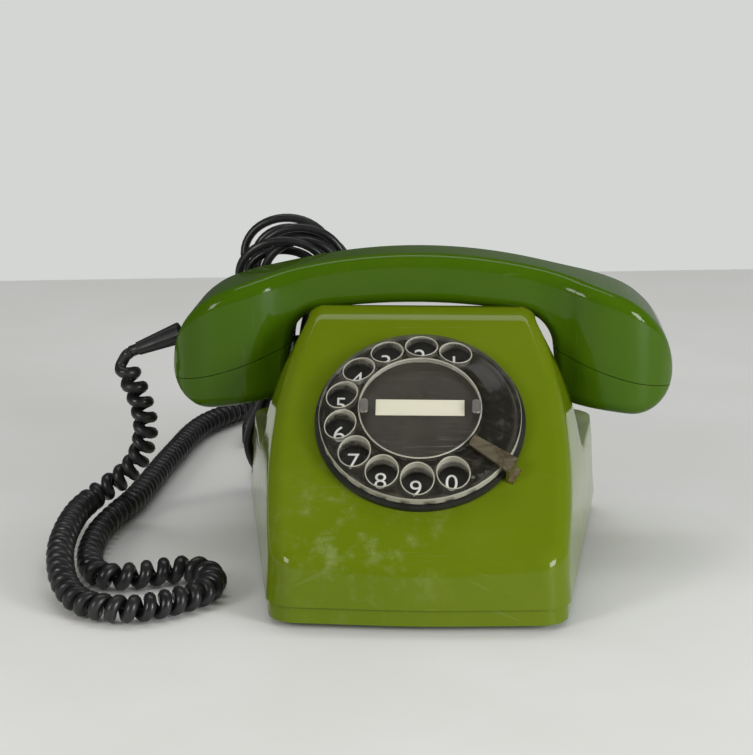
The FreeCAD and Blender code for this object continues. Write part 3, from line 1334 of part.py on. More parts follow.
def handset_cord():
    """The middle line with curls around it: they start below the sleeve and end behind the telephone."""
    root, way = boot_root()
    tip = HANDSET_LIE.multVec(root + way * BOOT_LENGTH)
    way = HANDSET_LIE.Rotation.multVec(way)
    lead = 2 * CURL_WIRE_RADIUS
    socket = V(HANDSET_GLAND_X, BACK_Y + GLAND_OUTSIDE, GLAND_HEIGHT)
    finish = [socket + V(0, 3 * lead, 0), socket + V(0, lead, 0), socket]
    route = [tip, tip + way * lead] + HANG + OUTER + LOWER + FOLD + UPPER + INNER + AWAY + TAIL + finish
    step = CURL_WIRE_RADIUS / 8
    middle = smooth_points(route, int(sum((b - a).Length for a, b in zip(route, route[1:])) / step))
    last = len(middle) - 1
    ways = [(middle[min(i + 1, last)] - middle[max(i - 1, 0)]).normalize() for i in range(last + 1)]
    side = ways[0].cross(V(0, 1, 0))
    sides = []
    for heading in ways:
        side = (side - heading * side.dot(heading)).normalize()
        sides.append(side)

    def nearest(point):
        return min(range(last + 1), key=lambda index: (middle[index] - point).Length)

    marks = [nearest(stretch[0]) for stretch in (HANG[1:], OUTER, LOWER, FOLD, UPPER, INNER, AWAY, TAIL)]
    total = sum(CURL_COUNTS)

    def turns_at(index):
        """Curls made so far, with the same pitch all along a stretch."""
        turns = 0.0
        for start, end, curls in zip(marks, marks[1:], CURL_COUNTS):
            turns += curls * min(1.0, max(0.0, (index - start) / (end - start)))
        return turns

    blend = CURL_OUTER_RADIUS / step
    near = (-1, -0.5, 0, 0.5, 1)
    table = [sum(turns_at(index + blend * share) for share in near) / len(near) for index in range(last + 1)]

    def wound(index):
        turns = table[index]
        ramp = min(1.0, turns / CURL_FADE, (total - turns) / CURL_FADE)
        radius = (CURL_OUTER_RADIUS - CURL_WIRE_RADIUS) * ramp * ramp * (3 - 2 * ramp)
        normal = sides[index].cross(ways[index])
        centre = V(middle[index])
        centre.z = max(centre.z, radius + CURL_WIRE_RADIUS + SLIP)
        return centre + sides[index] * (radius * cos(360 * turns)) + normal * (radius * sin(360 * turns))

    stops = [0, round(lead / step)]
    for index in range(stops[-1] + 1, last - round(lead / step)):
        plain = table[index] in (0, total)
        quarter_done = int(4 * table[index]) > int(4 * table[index - 1])
        if quarter_done or plain and index - stops[-1] >= 3 * lead / step:
            stops.append(index)
    points = [tip, tip + way * lead] + [wound(index) for index in stops[2:]]
    headings = [way, way] + [(wound(index + 1) - wound(index - 1)).normalize() for index in stops[2:]]
    points += [socket + V(0, lead, 0), socket]
    headings += [V(0, -1, 0), V(0, -1, 0)]
    return wound_tube(points, headings, CURL_WIRE_RADIUS, "handset_cord")


# Line cord: a lead from the gland, a hank tied at its waist and a tail with a plug

HANK_HALF = HANK_HEIGHT / 2
HANK_END_V = HANK_HALF - HANK_END_RADIUS
HANK_SIDE_RADIUS = ((HANK_WAIST ** 2 + HANK_END_V ** 2 - HANK_END_RADIUS ** 2)
                    / (2 * (HANK_END_RADIUS - HANK_WAIST)))
HANK_TILT = math.degrees(math.atan2(HANK_END_V, HANK_WAIST + HANK_SIDE_RADIUS))
HANK_DEPTH = HANK_STEP * (HANK_LAYERS - 1)
HANK = FreeCAD.Placement(
    V(HANK_X, HANK_FOOT_Y - HANK_HALF * sin(HANK_LEAN),
      CORD_RADIUS + SLIP + HANK_HALF * cos(HANK_LEAN) + HANK_DEPTH / 2 * sin(HANK_LEAN)),
    FreeCAD.Rotation(V(1, 0, 0), HANK_LEAN))


def hank_quarter(share):
    """A place on the outermost loop between its foot and its waist, and the way into the loop."""
    end_turn = 90 + HANK_TILT
    end_run = math.radians(end_turn) * HANK_END_RADIUS
    side_run = math.radians(HANK_TILT) * HANK_SIDE_RADIUS
    along = share * (end_run + side_run)
    if along < end_run:
        angle = -90 - end_turn * along / end_run
        place = HANK_END_RADIUS * cos(angle), HANK_END_RADIUS * sin(angle) - HANK_END_V
        return place, (-cos(angle), -sin(angle))
    angle = HANK_TILT * ((along - end_run) / side_run - 1)
    place = HANK_SIDE_RADIUS * (cos(angle) - 1) - HANK_WAIST, HANK_SIDE_RADIUS * sin(angle)
    return place, (cos(angle), sin(angle))


def hank_climb(turn):
    """The layer at a number of turns; each climb takes the half turn in which the spiral reverses."""
    layer = 0.0
    for index in range(1, HANK_LAYERS):
        rise = min(1.0, max(0.0, 2 * (turn - index * HANK_LOOPS_PER_LAYER) + 0.5))
        layer += rise * rise * (3 - 2 * rise)
    return layer


def hank_point(turn):
    """The cord's middle after a number of turns; it spirals in and out, layer by layer."""
    quarters = 4 * turn
    quarter = int(math.floor(quarters)) % 4
    share = quarters - math.floor(quarters)
    (u, v), (in_u, in_v) = hank_quarter(1 - share if quarter % 2 else share)
    if quarter in (1, 2):
        v, in_v = -v, -in_v
    if quarter in (2, 3):
        u, in_u = -u, -in_u
    swing = turn % (2 * HANK_LOOPS_PER_LAYER)
    depth = HANK_STEP * min(swing, 2 * HANK_LOOPS_PER_LAYER - swing)
    across = HANK_STEP * hank_climb(turn) - HANK_DEPTH / 2
    return HANK.multVec(V(u + in_u * depth, across, v + in_v * depth))


def hank_ends():
    """Where the hank begins and ends: both at its foot, with the cord running towards -X."""
    lead = V(2 * CORD_RADIUS, 0, 0)
    return hank_point(0) + lead, hank_point(HANK_LAYERS * HANK_LOOPS_PER_LAYER) - lead


def line_cord_hank():
    total = HANK_LAYERS * HANK_LOOPS_PER_LAYER
    end_share = math.radians(90 + HANK_TILT) * HANK_END_RADIUS
    end_share /= end_share + math.radians(HANK_TILT) * HANK_SIDE_RADIUS
    stops = []
    for quarter in range(4 * total):
        middle = 1 - end_share if quarter % 2 else end_share
        stops += [quarter / 4, (quarter + middle) / 4]
    stops.append(total)
    points = [hank_point(turn) for turn in stops]
    step = 1e-4
    headings = [(hank_point(turn + step) - hank_point(turn - step)).normalize() for turn in stops[1:-1]]
    level = V(-1, 0, 0)
    start, end = hank_ends()
    points = [start] + points + [end]
    headings = [level, level] + headings + [level, level]
    return wound_tube(points, headings, CORD_RADIUS, "line_cord_hank")


def hank_tie():
    """A band round the waist of the hank."""
    reach_u = HANK_WAIST + CORD_RADIUS + TIE_CLEARANCE
    reach_w = HANK_DEPTH / 2 + CORD_RADIUS + TIE_CLEARANCE
    bands = []
    for wall in (TIE_WALL, 0):
        corner = V(reach_u + wall, reach_w + wall, TIE_LENGTH / 2)
        solid = box(corner * -1, corner)
        upright = [edge for edge in solid.Edges if edge.BoundBox.ZLength > TIE_LENGTH / 2]
        bands.append(solid.makeFillet(CORD_RADIUS + wall, upright))
    return bands[0].cut(bands[1]).transformed(HANK.toMatrix(), True)


def line_cord_lead():
    start = V(LINE_GLAND_X, BACK_Y + GLAND_OUTSIDE, GLAND_HEIGHT)
    end = hank_ends()[0]
    low = end.z
    route = [start, V(LINE_GLAND_X, 104, GLAND_HEIGHT), V(17, 117, 11), V(7, 126, 4.5), V(-8, 122, low),
             V(-26, 108, low), V(-38, end.y, low), end]
    return cord_tube(route, CORD_RADIUS, "line_cord_lead")


def line_cord_tail():
    start = hank_ends()[1]
    low = CORD_RADIUS + SLIP
    entry = SLIP + PLUG_HEIGHT / 2
    route = [start, V(-69.1, start.y, start.z), V(-75.4, 108.1, 4.2), V(-79.1, 114.4, 3), V(-79.6, 122, low),
             V(-80.4, 134, low), V(-79.8, 146.5, 4.2), V(PLUG_X, 157.5, entry), V(PLUG_X, PLUG_Y, entry)]
    return cord_tube(route, CORD_RADIUS, "line_cord_tail")


def line_cord_plug():
    low = V(PLUG_X - PLUG_WIDTH / 2, PLUG_Y, SLIP)
    return rounded_box(low, low + V(PLUG_WIDTH, PLUG_LENGTH, PLUG_HEIGHT), PLUG_EDGE_RADIUS)


def plug_pins():
    start = PLUG_Y + PLUG_LENGTH
    middle = SLIP + PLUG_HEIGHT / 2
    pins = []
    for x in (PLUG_X - PIN_SPACING / 2, PLUG_X + PIN_SPACING / 2):
        pins.append(box(V(x - PIN_THICKNESS / 2, start, middle - PIN_WIDTH / 2),
                        V(x + PIN_THICKNESS / 2, start + PIN_LENGTH, middle + PIN_WIDTH / 2)))
    return Part.makeCompound(pins)


# Every piece by name

def pieces():
    walls = handset_walls()
    board_x = BOARD_WIDTH / 2 - BOARD_PIECE_GAP
    board_back = BOARD_BACK - BOARD_PIECE_GAP
    yield "housing_shell", housing_shell()
    yield "base_tray", base_tray()
    yield "rubber_feet", rubber_feet()
    yield "housing_screws", housing_screws()
    yield "number_plate", number_plate()
    yield "finger_wheel", finger_wheel()
    yield "label_disc", label_disc()
    yield "label_card", label_card()
    yield "label_cover", label_cover()
    yield "cover_clips", cover_clips()
    yield "finger_stop", finger_stop()
    yield "dial_frame_front", dial_frame_front()
    yield "dial_frame_rear", dial_frame_rear()
    yield "dial_pillars", dial_pillars()
    yield "dial_bush", dial_bush()
    yield "dial_shaft", dial_shaft()
    yield "dial_hub", dial_hub()
    yield "dial_screws", dial_screws()
    yield "main_gear", main_gear()
    yield "pulse_cam", pulse_cam()
    yield "main_spring", main_spring()
    yield "idler_arbor", idler_arbor()
    yield "idler_gear", idler_gear()
    yield "governor_arbor", governor_arbor()
    yield "governor_weights", governor_weights()
    yield "governor_cup", governor_cup()
    yield "pulse_contacts", pulse_contacts()
    yield "handset_shell", laid(handset_shell(walls))
    yield "ear_cap", laid(handset_cap(walls, 1))
    yield "mouth_cap", laid(handset_cap(walls, -1))
    yield "receiver_capsule", laid(capsule(1))
    yield "transmitter_capsule", laid(capsule(-1))
    yield "capsule_contacts", laid(capsule_contacts())
    yield "handset_cord_boot", laid(boot_cone(0))
    yield "hook_plungers", Part.makeCompound([plunger(side, 0) for side in (1, -1)])
    yield "hook_crossbar", hook_crossbar()
    yield "hook_bracket", hook_bracket()
    yield "hook_contacts", hook_contacts()
    yield "ringer_frame", ringer_frame()
    yield "ringer_coils", ringer_coils()
    yield "ringer_magnet", ringer_magnet()
    yield "gong_low", gong(-1, GONG_HEIGHT)
    yield "gong_high", gong(1, GONG_HIGH_HEIGHT)
    yield "gong_screws", gong_screws()
    yield "clapper", clapper()
    yield "circuit_board", circuit_board()
    yield "induction_coil", board_piece(COIL_BOX, COIL_BOX[0] / 2 - board_x, board_back)
    yield "capacitor", board_piece(CAPACITOR_BOX, board_x - CAPACITOR_BOX[0] / 2, board_back)
    yield "terminal_block", terminal_block()
    yield "terminal_screws", terminal_screws()
    yield "handset_cord_gland", gland_rod(HANDSET_GLAND_X, GLAND_RADIUS)
    yield "line_cord_gland", gland_rod(LINE_GLAND_X, GLAND_RADIUS)
    yield "handset_cord", handset_cord()
    yield "line_cord_lead", line_cord_lead()
    yield "line_cord_hank", line_cord_hank()
    yield "line_cord_tail", line_cord_tail()
    yield "hank_tie", hank_tie()
    yield "line_cord_plug", line_cord_plug()
    yield "plug_pins", plug_pins()


os.makedirs("parts", exist_ok=True)
for name, shape in pieces():
    print(name, "solids", len(shape.Solids), "valid", shape.isValid(), "volume", round(shape.Volume))
    shape.exportStep("parts/" + name + ".step")
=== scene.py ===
# %% [markdown]
# This lesson dresses a rotary desk telephone. The solids come packed from the construction model and
# stay where they are. Here they get smooth surfaces, printed digits, real cords and worn finishes.

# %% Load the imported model
import json
import math

import bmesh
import bpy
from mathutils import Matrix, Vector


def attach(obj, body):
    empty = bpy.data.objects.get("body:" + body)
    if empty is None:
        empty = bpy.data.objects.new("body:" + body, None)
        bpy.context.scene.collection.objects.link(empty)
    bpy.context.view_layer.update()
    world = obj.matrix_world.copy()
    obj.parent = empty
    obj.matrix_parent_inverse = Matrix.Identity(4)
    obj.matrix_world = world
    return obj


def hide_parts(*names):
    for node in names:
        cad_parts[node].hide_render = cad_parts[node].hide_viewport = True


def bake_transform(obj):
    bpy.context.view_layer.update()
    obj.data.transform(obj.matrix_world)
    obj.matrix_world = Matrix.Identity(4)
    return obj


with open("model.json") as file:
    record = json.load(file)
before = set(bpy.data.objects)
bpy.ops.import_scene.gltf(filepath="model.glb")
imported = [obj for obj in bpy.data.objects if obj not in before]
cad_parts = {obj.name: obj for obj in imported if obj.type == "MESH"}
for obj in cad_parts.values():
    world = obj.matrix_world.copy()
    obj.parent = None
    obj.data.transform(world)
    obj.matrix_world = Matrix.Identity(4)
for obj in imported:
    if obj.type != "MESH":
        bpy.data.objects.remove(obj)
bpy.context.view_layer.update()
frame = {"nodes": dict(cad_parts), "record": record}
MM = 0.001

# %% [markdown]
# The camera stands a little above the table and looks slightly down, as the photographer did. Its place
# was worked out from the feet, the dial and the handset, so the picture's frame fits without any shift.

# %% Camera
CAMERA_PLACE = Vector((7.1, -757.8, 259.1)) * MM
CAMERA_PITCH = 13.5
CAMERA_YAW = -1.9
CAMERA_LENS = 91.9


def make_camera():
    data = bpy.data.cameras.new("photo_camera")
    camera = bpy.data.objects.new("photo_camera", data)
    bpy.context.scene.collection.objects.link(camera)
    pitch, yaw = math.radians(CAMERA_PITCH), math.radians(CAMERA_YAW)
    ahead = Vector((math.sin(yaw) * math.cos(pitch), math.cos(yaw) * math.cos(pitch), -math.sin(pitch)))
    camera.location = CAMERA_PLACE
    camera.rotation_euler = ahead.to_track_quat("-Z", "Y").to_euler()
    data.lens = CAMERA_LENS
    data.clip_start = 0.05
    data.clip_end = 20
    bpy.context.scene.camera = camera
    return camera


print("camera at", make_camera().location)

# %% [markdown]
# Finishes are made of nodes. A few helpers keep each one short: a noise, a ramp that turns it into a
# mask, a mix of two colours by a mask, and a bump. All of them read Object coordinates, which are metres
# here, so a noise scale of 100 gives spots of about a centimetre.

# %% Helpers for finishes


class Finish:
    """One procedural material; its methods add nodes and return their output sockets."""

    def __init__(self, name, colour, roughness, metallic=0.0):
        self.material = bpy.data.materials.new(name)
        self.material.use_nodes = True
        self.nodes = self.material.node_tree.nodes
        self.links = self.material.node_tree.links
        self.shader = self.nodes["Principled BSDF"]
        self.coords = self.nodes.new("ShaderNodeTexCoord").outputs["Object"]
        self.set("Base Color", (*colour, 1))
        self.set("Roughness", roughness)
        self.set("Metallic", metallic)

    def set(self, socket, value):
        target = self.shader.inputs[socket]
        if isinstance(value, bpy.types.NodeSocket):
            self.links.new(value, target)
        else:
            target.default_value = value

    def stretched(self, scale, turn=(0, 0, 0), place=(0, 0, 0)):
        node = self.nodes.new("ShaderNodeMapping")
        node.inputs["Scale"].default_value = scale
        node.inputs["Rotation"].default_value = turn
        node.inputs["Location"].default_value = place
        self.links.new(self.coords, node.inputs["Vector"])
        return node.outputs["Vector"]

    def noise(self, scale, detail=4.0, rough=0.55, vector=None):
        node = self.nodes.new("ShaderNodeTexNoise")
        node.inputs["Scale"].default_value = scale
        node.inputs["Detail"].default_value = detail
        node.inputs["Roughness"].default_value = rough
        self.links.new(vector or self.coords, node.inputs["Vector"])
        return node.outputs["Fac"]

    def ramp(self, value, low, high, first=0.0, last=1.0):
        node = self.nodes.new("ShaderNodeMapRange")
        node.interpolation_type = "SMOOTHSTEP"
        for socket, number in (("From Min", low), ("From Max", high), ("To Min", first), ("To Max", last)):
            node.inputs[socket].default_value = number
        self.links.new(value, node.inputs["Value"])
        return node.outputs["Result"]

    def maths(self, operation, first, second):
        node = self.nodes.new("ShaderNodeMath")
        node.operation = operation
        for value, socket in zip((first, second), node.inputs):
            if isinstance(value, bpy.types.NodeSocket):
                self.links.new(value, socket)
            else:
                socket.default_value = value
        return node.outputs["Value"]

    def mix(self, mask, first, second):
        node = self.nodes.new("ShaderNodeMix")
        node.data_type = "RGBA"
        self.links.new(mask, node.inputs["Factor"])
        for value, index in ((first, 6), (second, 7)):
            if isinstance(value, bpy.types.NodeSocket):
                self.links.new(value, node.inputs[index])
            else:
                node.inputs[index].default_value = (*value, 1)
        return node.outputs[2]

    def bump(self, height, strength, distance):
        node = self.nodes.new("ShaderNodeBump")
        node.inputs["Strength"].default_value = strength
        node.inputs["Distance"].default_value = distance
        self.links.new(height, node.inputs["Height"])
        self.set("Normal", node.outputs["Normal"])

    def away_from(self, place):
        """Distance from a place."""
        away = self.nodes.new("ShaderNodeVectorMath")
        away.operation = "DISTANCE"
        self.links.new(self.coords, away.inputs[0])
        away.inputs[1].default_value = place
        return away.outputs["Value"]

    def near(self, centre, radius):
        """A mask that is 1 at a place and fades out at a distance from it."""
        return self.ramp(self.away_from(centre), 0.0, radius, 1.0, 0.0)

    def height_along(self, axis, place):
        """Height above a place, counted along an axis."""
        dot = self.nodes.new("ShaderNodeVectorMath")
        dot.operation = "DOT_PRODUCT"
        self.links.new(self.coords, dot.inputs[0])
        dot.inputs[1].default_value = axis
        return self.maths("SUBTRACT", dot.outputs["Value"], Vector(axis).dot(place))

    def facing(self, axis):
        """A mask that is 1 where the surface looks along an axis, either way, and 0 on walls beside it."""
        normal = self.nodes.new("ShaderNodeNewGeometry").outputs["Normal"]
        dot = self.nodes.new("ShaderNodeVectorMath")
        dot.operation = "DOT_PRODUCT"
        self.links.new(normal, dot.inputs[0])
        dot.inputs[1].default_value = axis
        return self.maths("ABSOLUTE", dot.outputs["Value"], 0.0)


# %% [markdown]
# The housing and the handset are glossy moulded plastic that has been handled for decades. Large soft
# spots vary the green, thin lines in two directions are scratches, and a cloudy patch at the lower left
# of the panel is where the gloss has been rubbed pale. The handset has a deeper green than the housing.

# %% Green plastic
HOUSING_GREEN = (0.1, 0.143, 0.003)
HOUSING_GREEN_WORN = (0.114, 0.155, 0.007)
HANDSET_GREEN = (0.041, 0.094, 0.0012)
HANDSET_GREEN_WORN = (0.05, 0.101, 0.003)
SCUFF_PALE = (0.36, 0.39, 0.2)
SCUFF_PLACE = Vector((-21, -70, 34)) * MM


def scratches(finish, along, across, turn, thin):
    """Fine broken lines: a noise drawn out along one direction, kept only at its peaks."""
    lines = finish.noise(1.0, 2.0, 0.5, finish.stretched((along, across, along), turn))
    return finish.ramp(lines, thin, thin + 0.05)


def green_plastic(name, green, worn, scuffed):
    finish = Finish(name, green, 0.1)
    cloud = finish.ramp(finish.noise(28, 5.0, 0.6), 0.4, 0.7)
    lines = finish.maths("MAXIMUM", scratches(finish, 30, 1900, (0.3, 0.5, 0.8), 0.69),
                         scratches(finish, 26, 1500, (1.2, 0.1, -0.6), 0.7))
    dust = finish.ramp(finish.noise(2600, 2.0, 0.5), 0.68, 0.76)
    colour = finish.mix(finish.maths("MULTIPLY", cloud, 0.55), green, worn)
    pale = finish.maths("MULTIPLY", finish.maths("MAXIMUM", lines, dust), 0.06)
    if scuffed:
        patch = finish.maths("MULTIPLY", finish.near(SCUFF_PLACE, 0.05),
                             finish.ramp(finish.noise(110, 7.0, 0.7), 0.47, 0.77))
        pale = finish.maths("MAXIMUM", pale, finish.maths("MULTIPLY", patch, 0.36))
    finish.set("Base Color", finish.mix(pale, colour, SCUFF_PALE))
    gloss = finish.ramp(finish.noise(60, 6.0, 0.65), 0.3, 0.75, 0.07, 0.13)
    finish.set("Roughness", finish.maths("ADD", gloss, finish.maths("MULTIPLY", pale, 0.5)))
    finish.set("Specular IOR Level", 0.2)
    finish.bump(finish.noise(45, 3.0, 0.5), 0.05, 0.0004)
    return finish.material


housing_green = green_plastic("housing_green", HOUSING_GREEN, HOUSING_GREEN_WORN, True)
handset_green = green_plastic("handset_green", HANDSET_GREEN, HANDSET_GREEN_WORN, False)
print("green plastics", housing_green.name, handset_green.name)

# %% [markdown]
# The other finishes follow the same plan with less wear: black plastic and rubber with a fine grain, clear
# plastic that has yellowed and been scratched by fingertips, cream card, and metals with a drawn grain.

# %% Dark, clear and metal finishes
PANEL_SLOPE = math.radians(40)
DIAL_AXIS = (0.0, -math.sin(PANEL_SLOPE), math.cos(PANEL_SLOPE))
DIAL_CENTRE = Vector((0, -32.42, 66.745)) * MM
# Heights and reach past which the clear walls turn solid and pale: a painted highlight on the upper hole
# walls and the outer rim.
LIT_HEIGHTS = (5.2 * MM, 7.2 * MM)
RIM_HEIGHT = 6.0 * MM
RIM_REACH = (38.0 * MM, 39.0 * MM)


def grained(name, colour, other, roughness, spread=0.12, scale=900, depth=0.00008, strength=0.25):
    """A plain moulded or rubber surface: two near colours, a fine grain and an uneven gloss."""
    finish = Finish(name, colour, roughness)
    finish.set("Base Color", finish.mix(finish.ramp(finish.noise(70, 5.0), 0.35, 0.7), colour, other))
    gloss = finish.noise(130, 4.0)
    finish.set("Roughness", finish.ramp(gloss, 0.3, 0.7, roughness - spread / 2, roughness + spread / 2))
    finish.bump(finish.noise(scale, 3.0), strength, depth)
    return finish.material


def drawn_metal(name, colour, stain, roughness, stained=0.35):
    """Metal with a drawn grain and patches of stain."""
    finish = Finish(name, colour, roughness, 1.0)
    patch = finish.maths("MULTIPLY", finish.ramp(finish.noise(160, 6.0, 0.65), 0.45, 0.7), stained)
    finish.set("Base Color", finish.mix(patch, colour, stain))
    grain = finish.noise(1.0, 3.0, 0.5, finish.stretched((60, 60, 4200), (0.4, 0.9, 0.2)))
    finish.set("Roughness", finish.ramp(grain, 0.3, 0.7, roughness - 0.08, roughness + 0.1))
    finish.bump(grain, 0.08, 0.00005)
    return finish.material


def clear_plastic(name, tint, wall_highlight_tint, body, grazing):
    """Clear plastic: nearly unseen from the front; its walls, seen along their length, carry a painted pale
    highlight.
    """
    finish = Finish(name, tint, 0.08)
    lines = finish.maths("MAXIMUM", scratches(finish, 40, 2600, (0.2, 0.7, 0.4), 0.68),
                         scratches(finish, 34, 2200, (0.9, 0.2, -0.7), 0.69))
    # Walls beside the dial axis are tinted pale, and above a height or beyond the rim they turn nearly solid:
    # a painted highlight.
    walls = finish.ramp(finish.facing(DIAL_AXIS), 0.4, 0.85, 1.0, 0.0)
    height = finish.height_along(DIAL_AXIS, DIAL_CENTRE)
    reach = finish.away_from(DIAL_CENTRE + Vector(DIAL_AXIS) * RIM_HEIGHT)
    raised = finish.ramp(height, *LIT_HEIGHTS, 0.15, 1.0)
    lit = finish.maths("MAXIMUM", raised, finish.ramp(reach, *RIM_REACH))
    smears = finish.ramp(finish.noise(240, 6.0), 0.5, 0.8)
    rubbed = finish.maths("MULTIPLY", finish.maths("MAXIMUM", lines, smears), 0.08)
    finish.set("Base Color", finish.mix(finish.maths("MAXIMUM", walls, rubbed), tint, wall_highlight_tint))
    edge = finish.nodes.new("ShaderNodeLayerWeight")
    edge.inputs["Blend"].default_value = 0.5
    seen = finish.ramp(edge.outputs["Facing"], 0.3, 0.95, body, grazing)
    on_walls = finish.maths("MULTIPLY", finish.maths("MULTIPLY", walls, lit), grazing)
    on_faces = finish.maths("MULTIPLY", seen, finish.maths("SUBTRACT", 1.0, walls))
    seen = finish.maths("ADD", on_walls, on_faces)
    cloudy = finish.maths("ADD", seen, finish.maths("MULTIPLY", lines, 0.1))
    finish.set("Alpha", finish.maths("MINIMUM", cloudy, 1.0))
    haze = finish.ramp(finish.noise(90, 6.0, 0.65), 0.4, 0.75, 0.05, 0.16)
    finish.set("Roughness", finish.maths("ADD", haze, finish.maths("MULTIPLY", lines, 0.25)))
    finish.set("Specular IOR Level", 0.18)
    finish.bump(lines, 0.1, 0.00005)
    return finish.material


plate_black = grained("plate_black", (0.012, 0.012, 0.011), (0.022, 0.021, 0.018), 0.32)
disc_black = grained("disc_black", (0.021, 0.017, 0.011), (0.032, 0.026, 0.018), 0.4)
moulded_black = grained("moulded_black", (0.012, 0.012, 0.013), (0.02, 0.02, 0.02), 0.42)
rubber_black = grained("rubber_black", (0.011, 0.011, 0.012), (0.02, 0.02, 0.021), 0.5, 0.16, 1400)
cord_black = grained("cord_black", (0.009, 0.009, 0.01), (0.017, 0.017, 0.018), 0.36, 0.14, 700, 0.00006)
plunger_grey = grained("plunger_grey", (0.55, 0.55, 0.53), (0.62, 0.62, 0.58), 0.4)
card_cream = grained("card_cream", (0.63, 0.61, 0.48), (0.58, 0.56, 0.43), 0.75, 0.1, 2400, 0.00004)
digit_white = grained("digit_white", (0.93, 0.93, 0.9), (0.86, 0.86, 0.82), 0.5)
board_brown = grained("board_brown", (0.2, 0.1, 0.03), (0.26, 0.14, 0.05), 0.45)
wheel_clear = clear_plastic("wheel_clear", (0.02, 0.018, 0.013), (0.6, 0.58, 0.47), 0.5, 0.6)
cover_clear = clear_plastic("cover_clear", (0.5, 0.48, 0.4), (0.7, 0.68, 0.58), 0.015, 0.5)
clip_metal = drawn_metal("clip_metal", (0.36, 0.35, 0.31), (0.2, 0.18, 0.15), 0.4, 0.6)
stop_brown = drawn_metal("stop_brown", (0.42, 0.36, 0.24), (0.16, 0.1, 0.05), 0.38, 0.75)
plain_steel = drawn_metal("plain_steel", (0.56, 0.56, 0.55), (0.35, 0.3, 0.25), 0.34)
plain_brass = drawn_metal("plain_brass", (0.66, 0.47, 0.2), (0.4, 0.26, 0.1), 0.34)
dull_aluminium = drawn_metal("dull_aluminium", (0.62, 0.62, 0.62), (0.45, 0.45, 0.44), 0.42)
copper_wire = drawn_metal("copper_wire", (0.5, 0.2, 0.08), (0.3, 0.1, 0.04), 0.36)
print("finishes", len(bpy.data.materials))

# %% [markdown]
# Every solid gets its finish. The construction model's meshes are loose triangles, so the large glossy
# pieces, where facets would show, are copied, merged and shaded smooth; the copy stands for the solid.

# %% Give the solids their finishes
FINISHES = {
    housing_green: ("housing_shell", "base_tray"),
    handset_green: ("handset_shell", "ear_cap", "mouth_cap"),
    plate_black: ("number_plate",),
    disc_black: ("label_disc",),
    moulded_black: ("pulse_cam", "hook_crossbar", "terminal_block", "line_cord_plug"),
    rubber_black: ("rubber_feet", "handset_cord_boot", "handset_cord_gland", "line_cord_gland", "hank_tie"),
    cord_black: ("handset_cord", "line_cord_lead", "line_cord_hank", "line_cord_tail"),
    plunger_grey: ("hook_plungers",),
    card_cream: ("label_card",),
    board_brown: ("circuit_board",),
    wheel_clear: ("finger_wheel",),
    cover_clear: ("label_cover",),
    clip_metal: ("cover_clips",),
    stop_brown: ("finger_stop",),
    plain_steel: ("housing_screws", "dial_shaft", "dial_screws", "main_spring", "idler_arbor",
                  "governor_arbor", "hook_bracket", "ringer_frame", "ringer_magnet", "gong_screws",
                  "clapper"),
    plain_brass: ("dial_pillars", "dial_bush", "dial_hub", "main_gear", "idler_gear", "governor_weights",
                  "pulse_contacts", "capsule_contacts", "hook_contacts", "gong_low", "gong_high",
                  "terminal_screws", "plug_pins"),
    dull_aluminium: ("dial_frame_front", "dial_frame_rear", "governor_cup", "receiver_capsule",
                     "transmitter_capsule", "capacitor"),
    copper_wire: ("ringer_coils", "induction_coil"),
}


def body_of_node(node):
    return next(body for body, names in frame["record"]["behaviour"]["bodies"].items() if node in names)


def dress(obj, finish):
    obj.data.materials.clear()
    obj.data.materials.append(finish)


def smooth_copy(node, name, sharp_angle):
    """A merged copy of a solid's mesh with smooth shading, which stands for the solid."""
    mesh = frame["nodes"][node].data.copy()
    mesh.name = name
    work = bmesh.new()
    work.from_mesh(mesh)
    bmesh.ops.remove_doubles(work, verts=work.verts, dist=2e-6)
    work.to_mesh(mesh)
    work.free()
    mesh.shade_smooth()
    mesh.set_sharp_from_angle(angle=math.radians(sharp_angle))
    piece = bpy.data.objects.new(name, mesh)
    bpy.context.scene.collection.objects.link(piece)
    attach(piece, body_of_node(node))
    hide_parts(node)
    return piece


for finish, nodes in FINISHES.items():
    for node in nodes:
        dress(frame["nodes"][node], finish)
SMOOTH = {"housing_shell": "housing_skin", "handset_shell": "handset_skin", "ear_cap": "ear_cap_skin",
          "mouth_cap": "mouth_cap_skin", "base_tray": "tray_skin", "finger_wheel": "wheel_skin"}
for node, name in SMOOTH.items():
    piece = smooth_copy(node, name, 32)
    print(name, len(piece.data.polygons), "faces")

# %% [markdown]
# Some pieces follow a rule, and geometry nodes build them from it. A small helper holds one tree while it
# is made: its named inputs, its nodes and its end, where instances become real and get their finish. The
# tree runs once on a carrier, its result is kept as a plain mesh, and the carrier goes.

# %% A helper for node trees


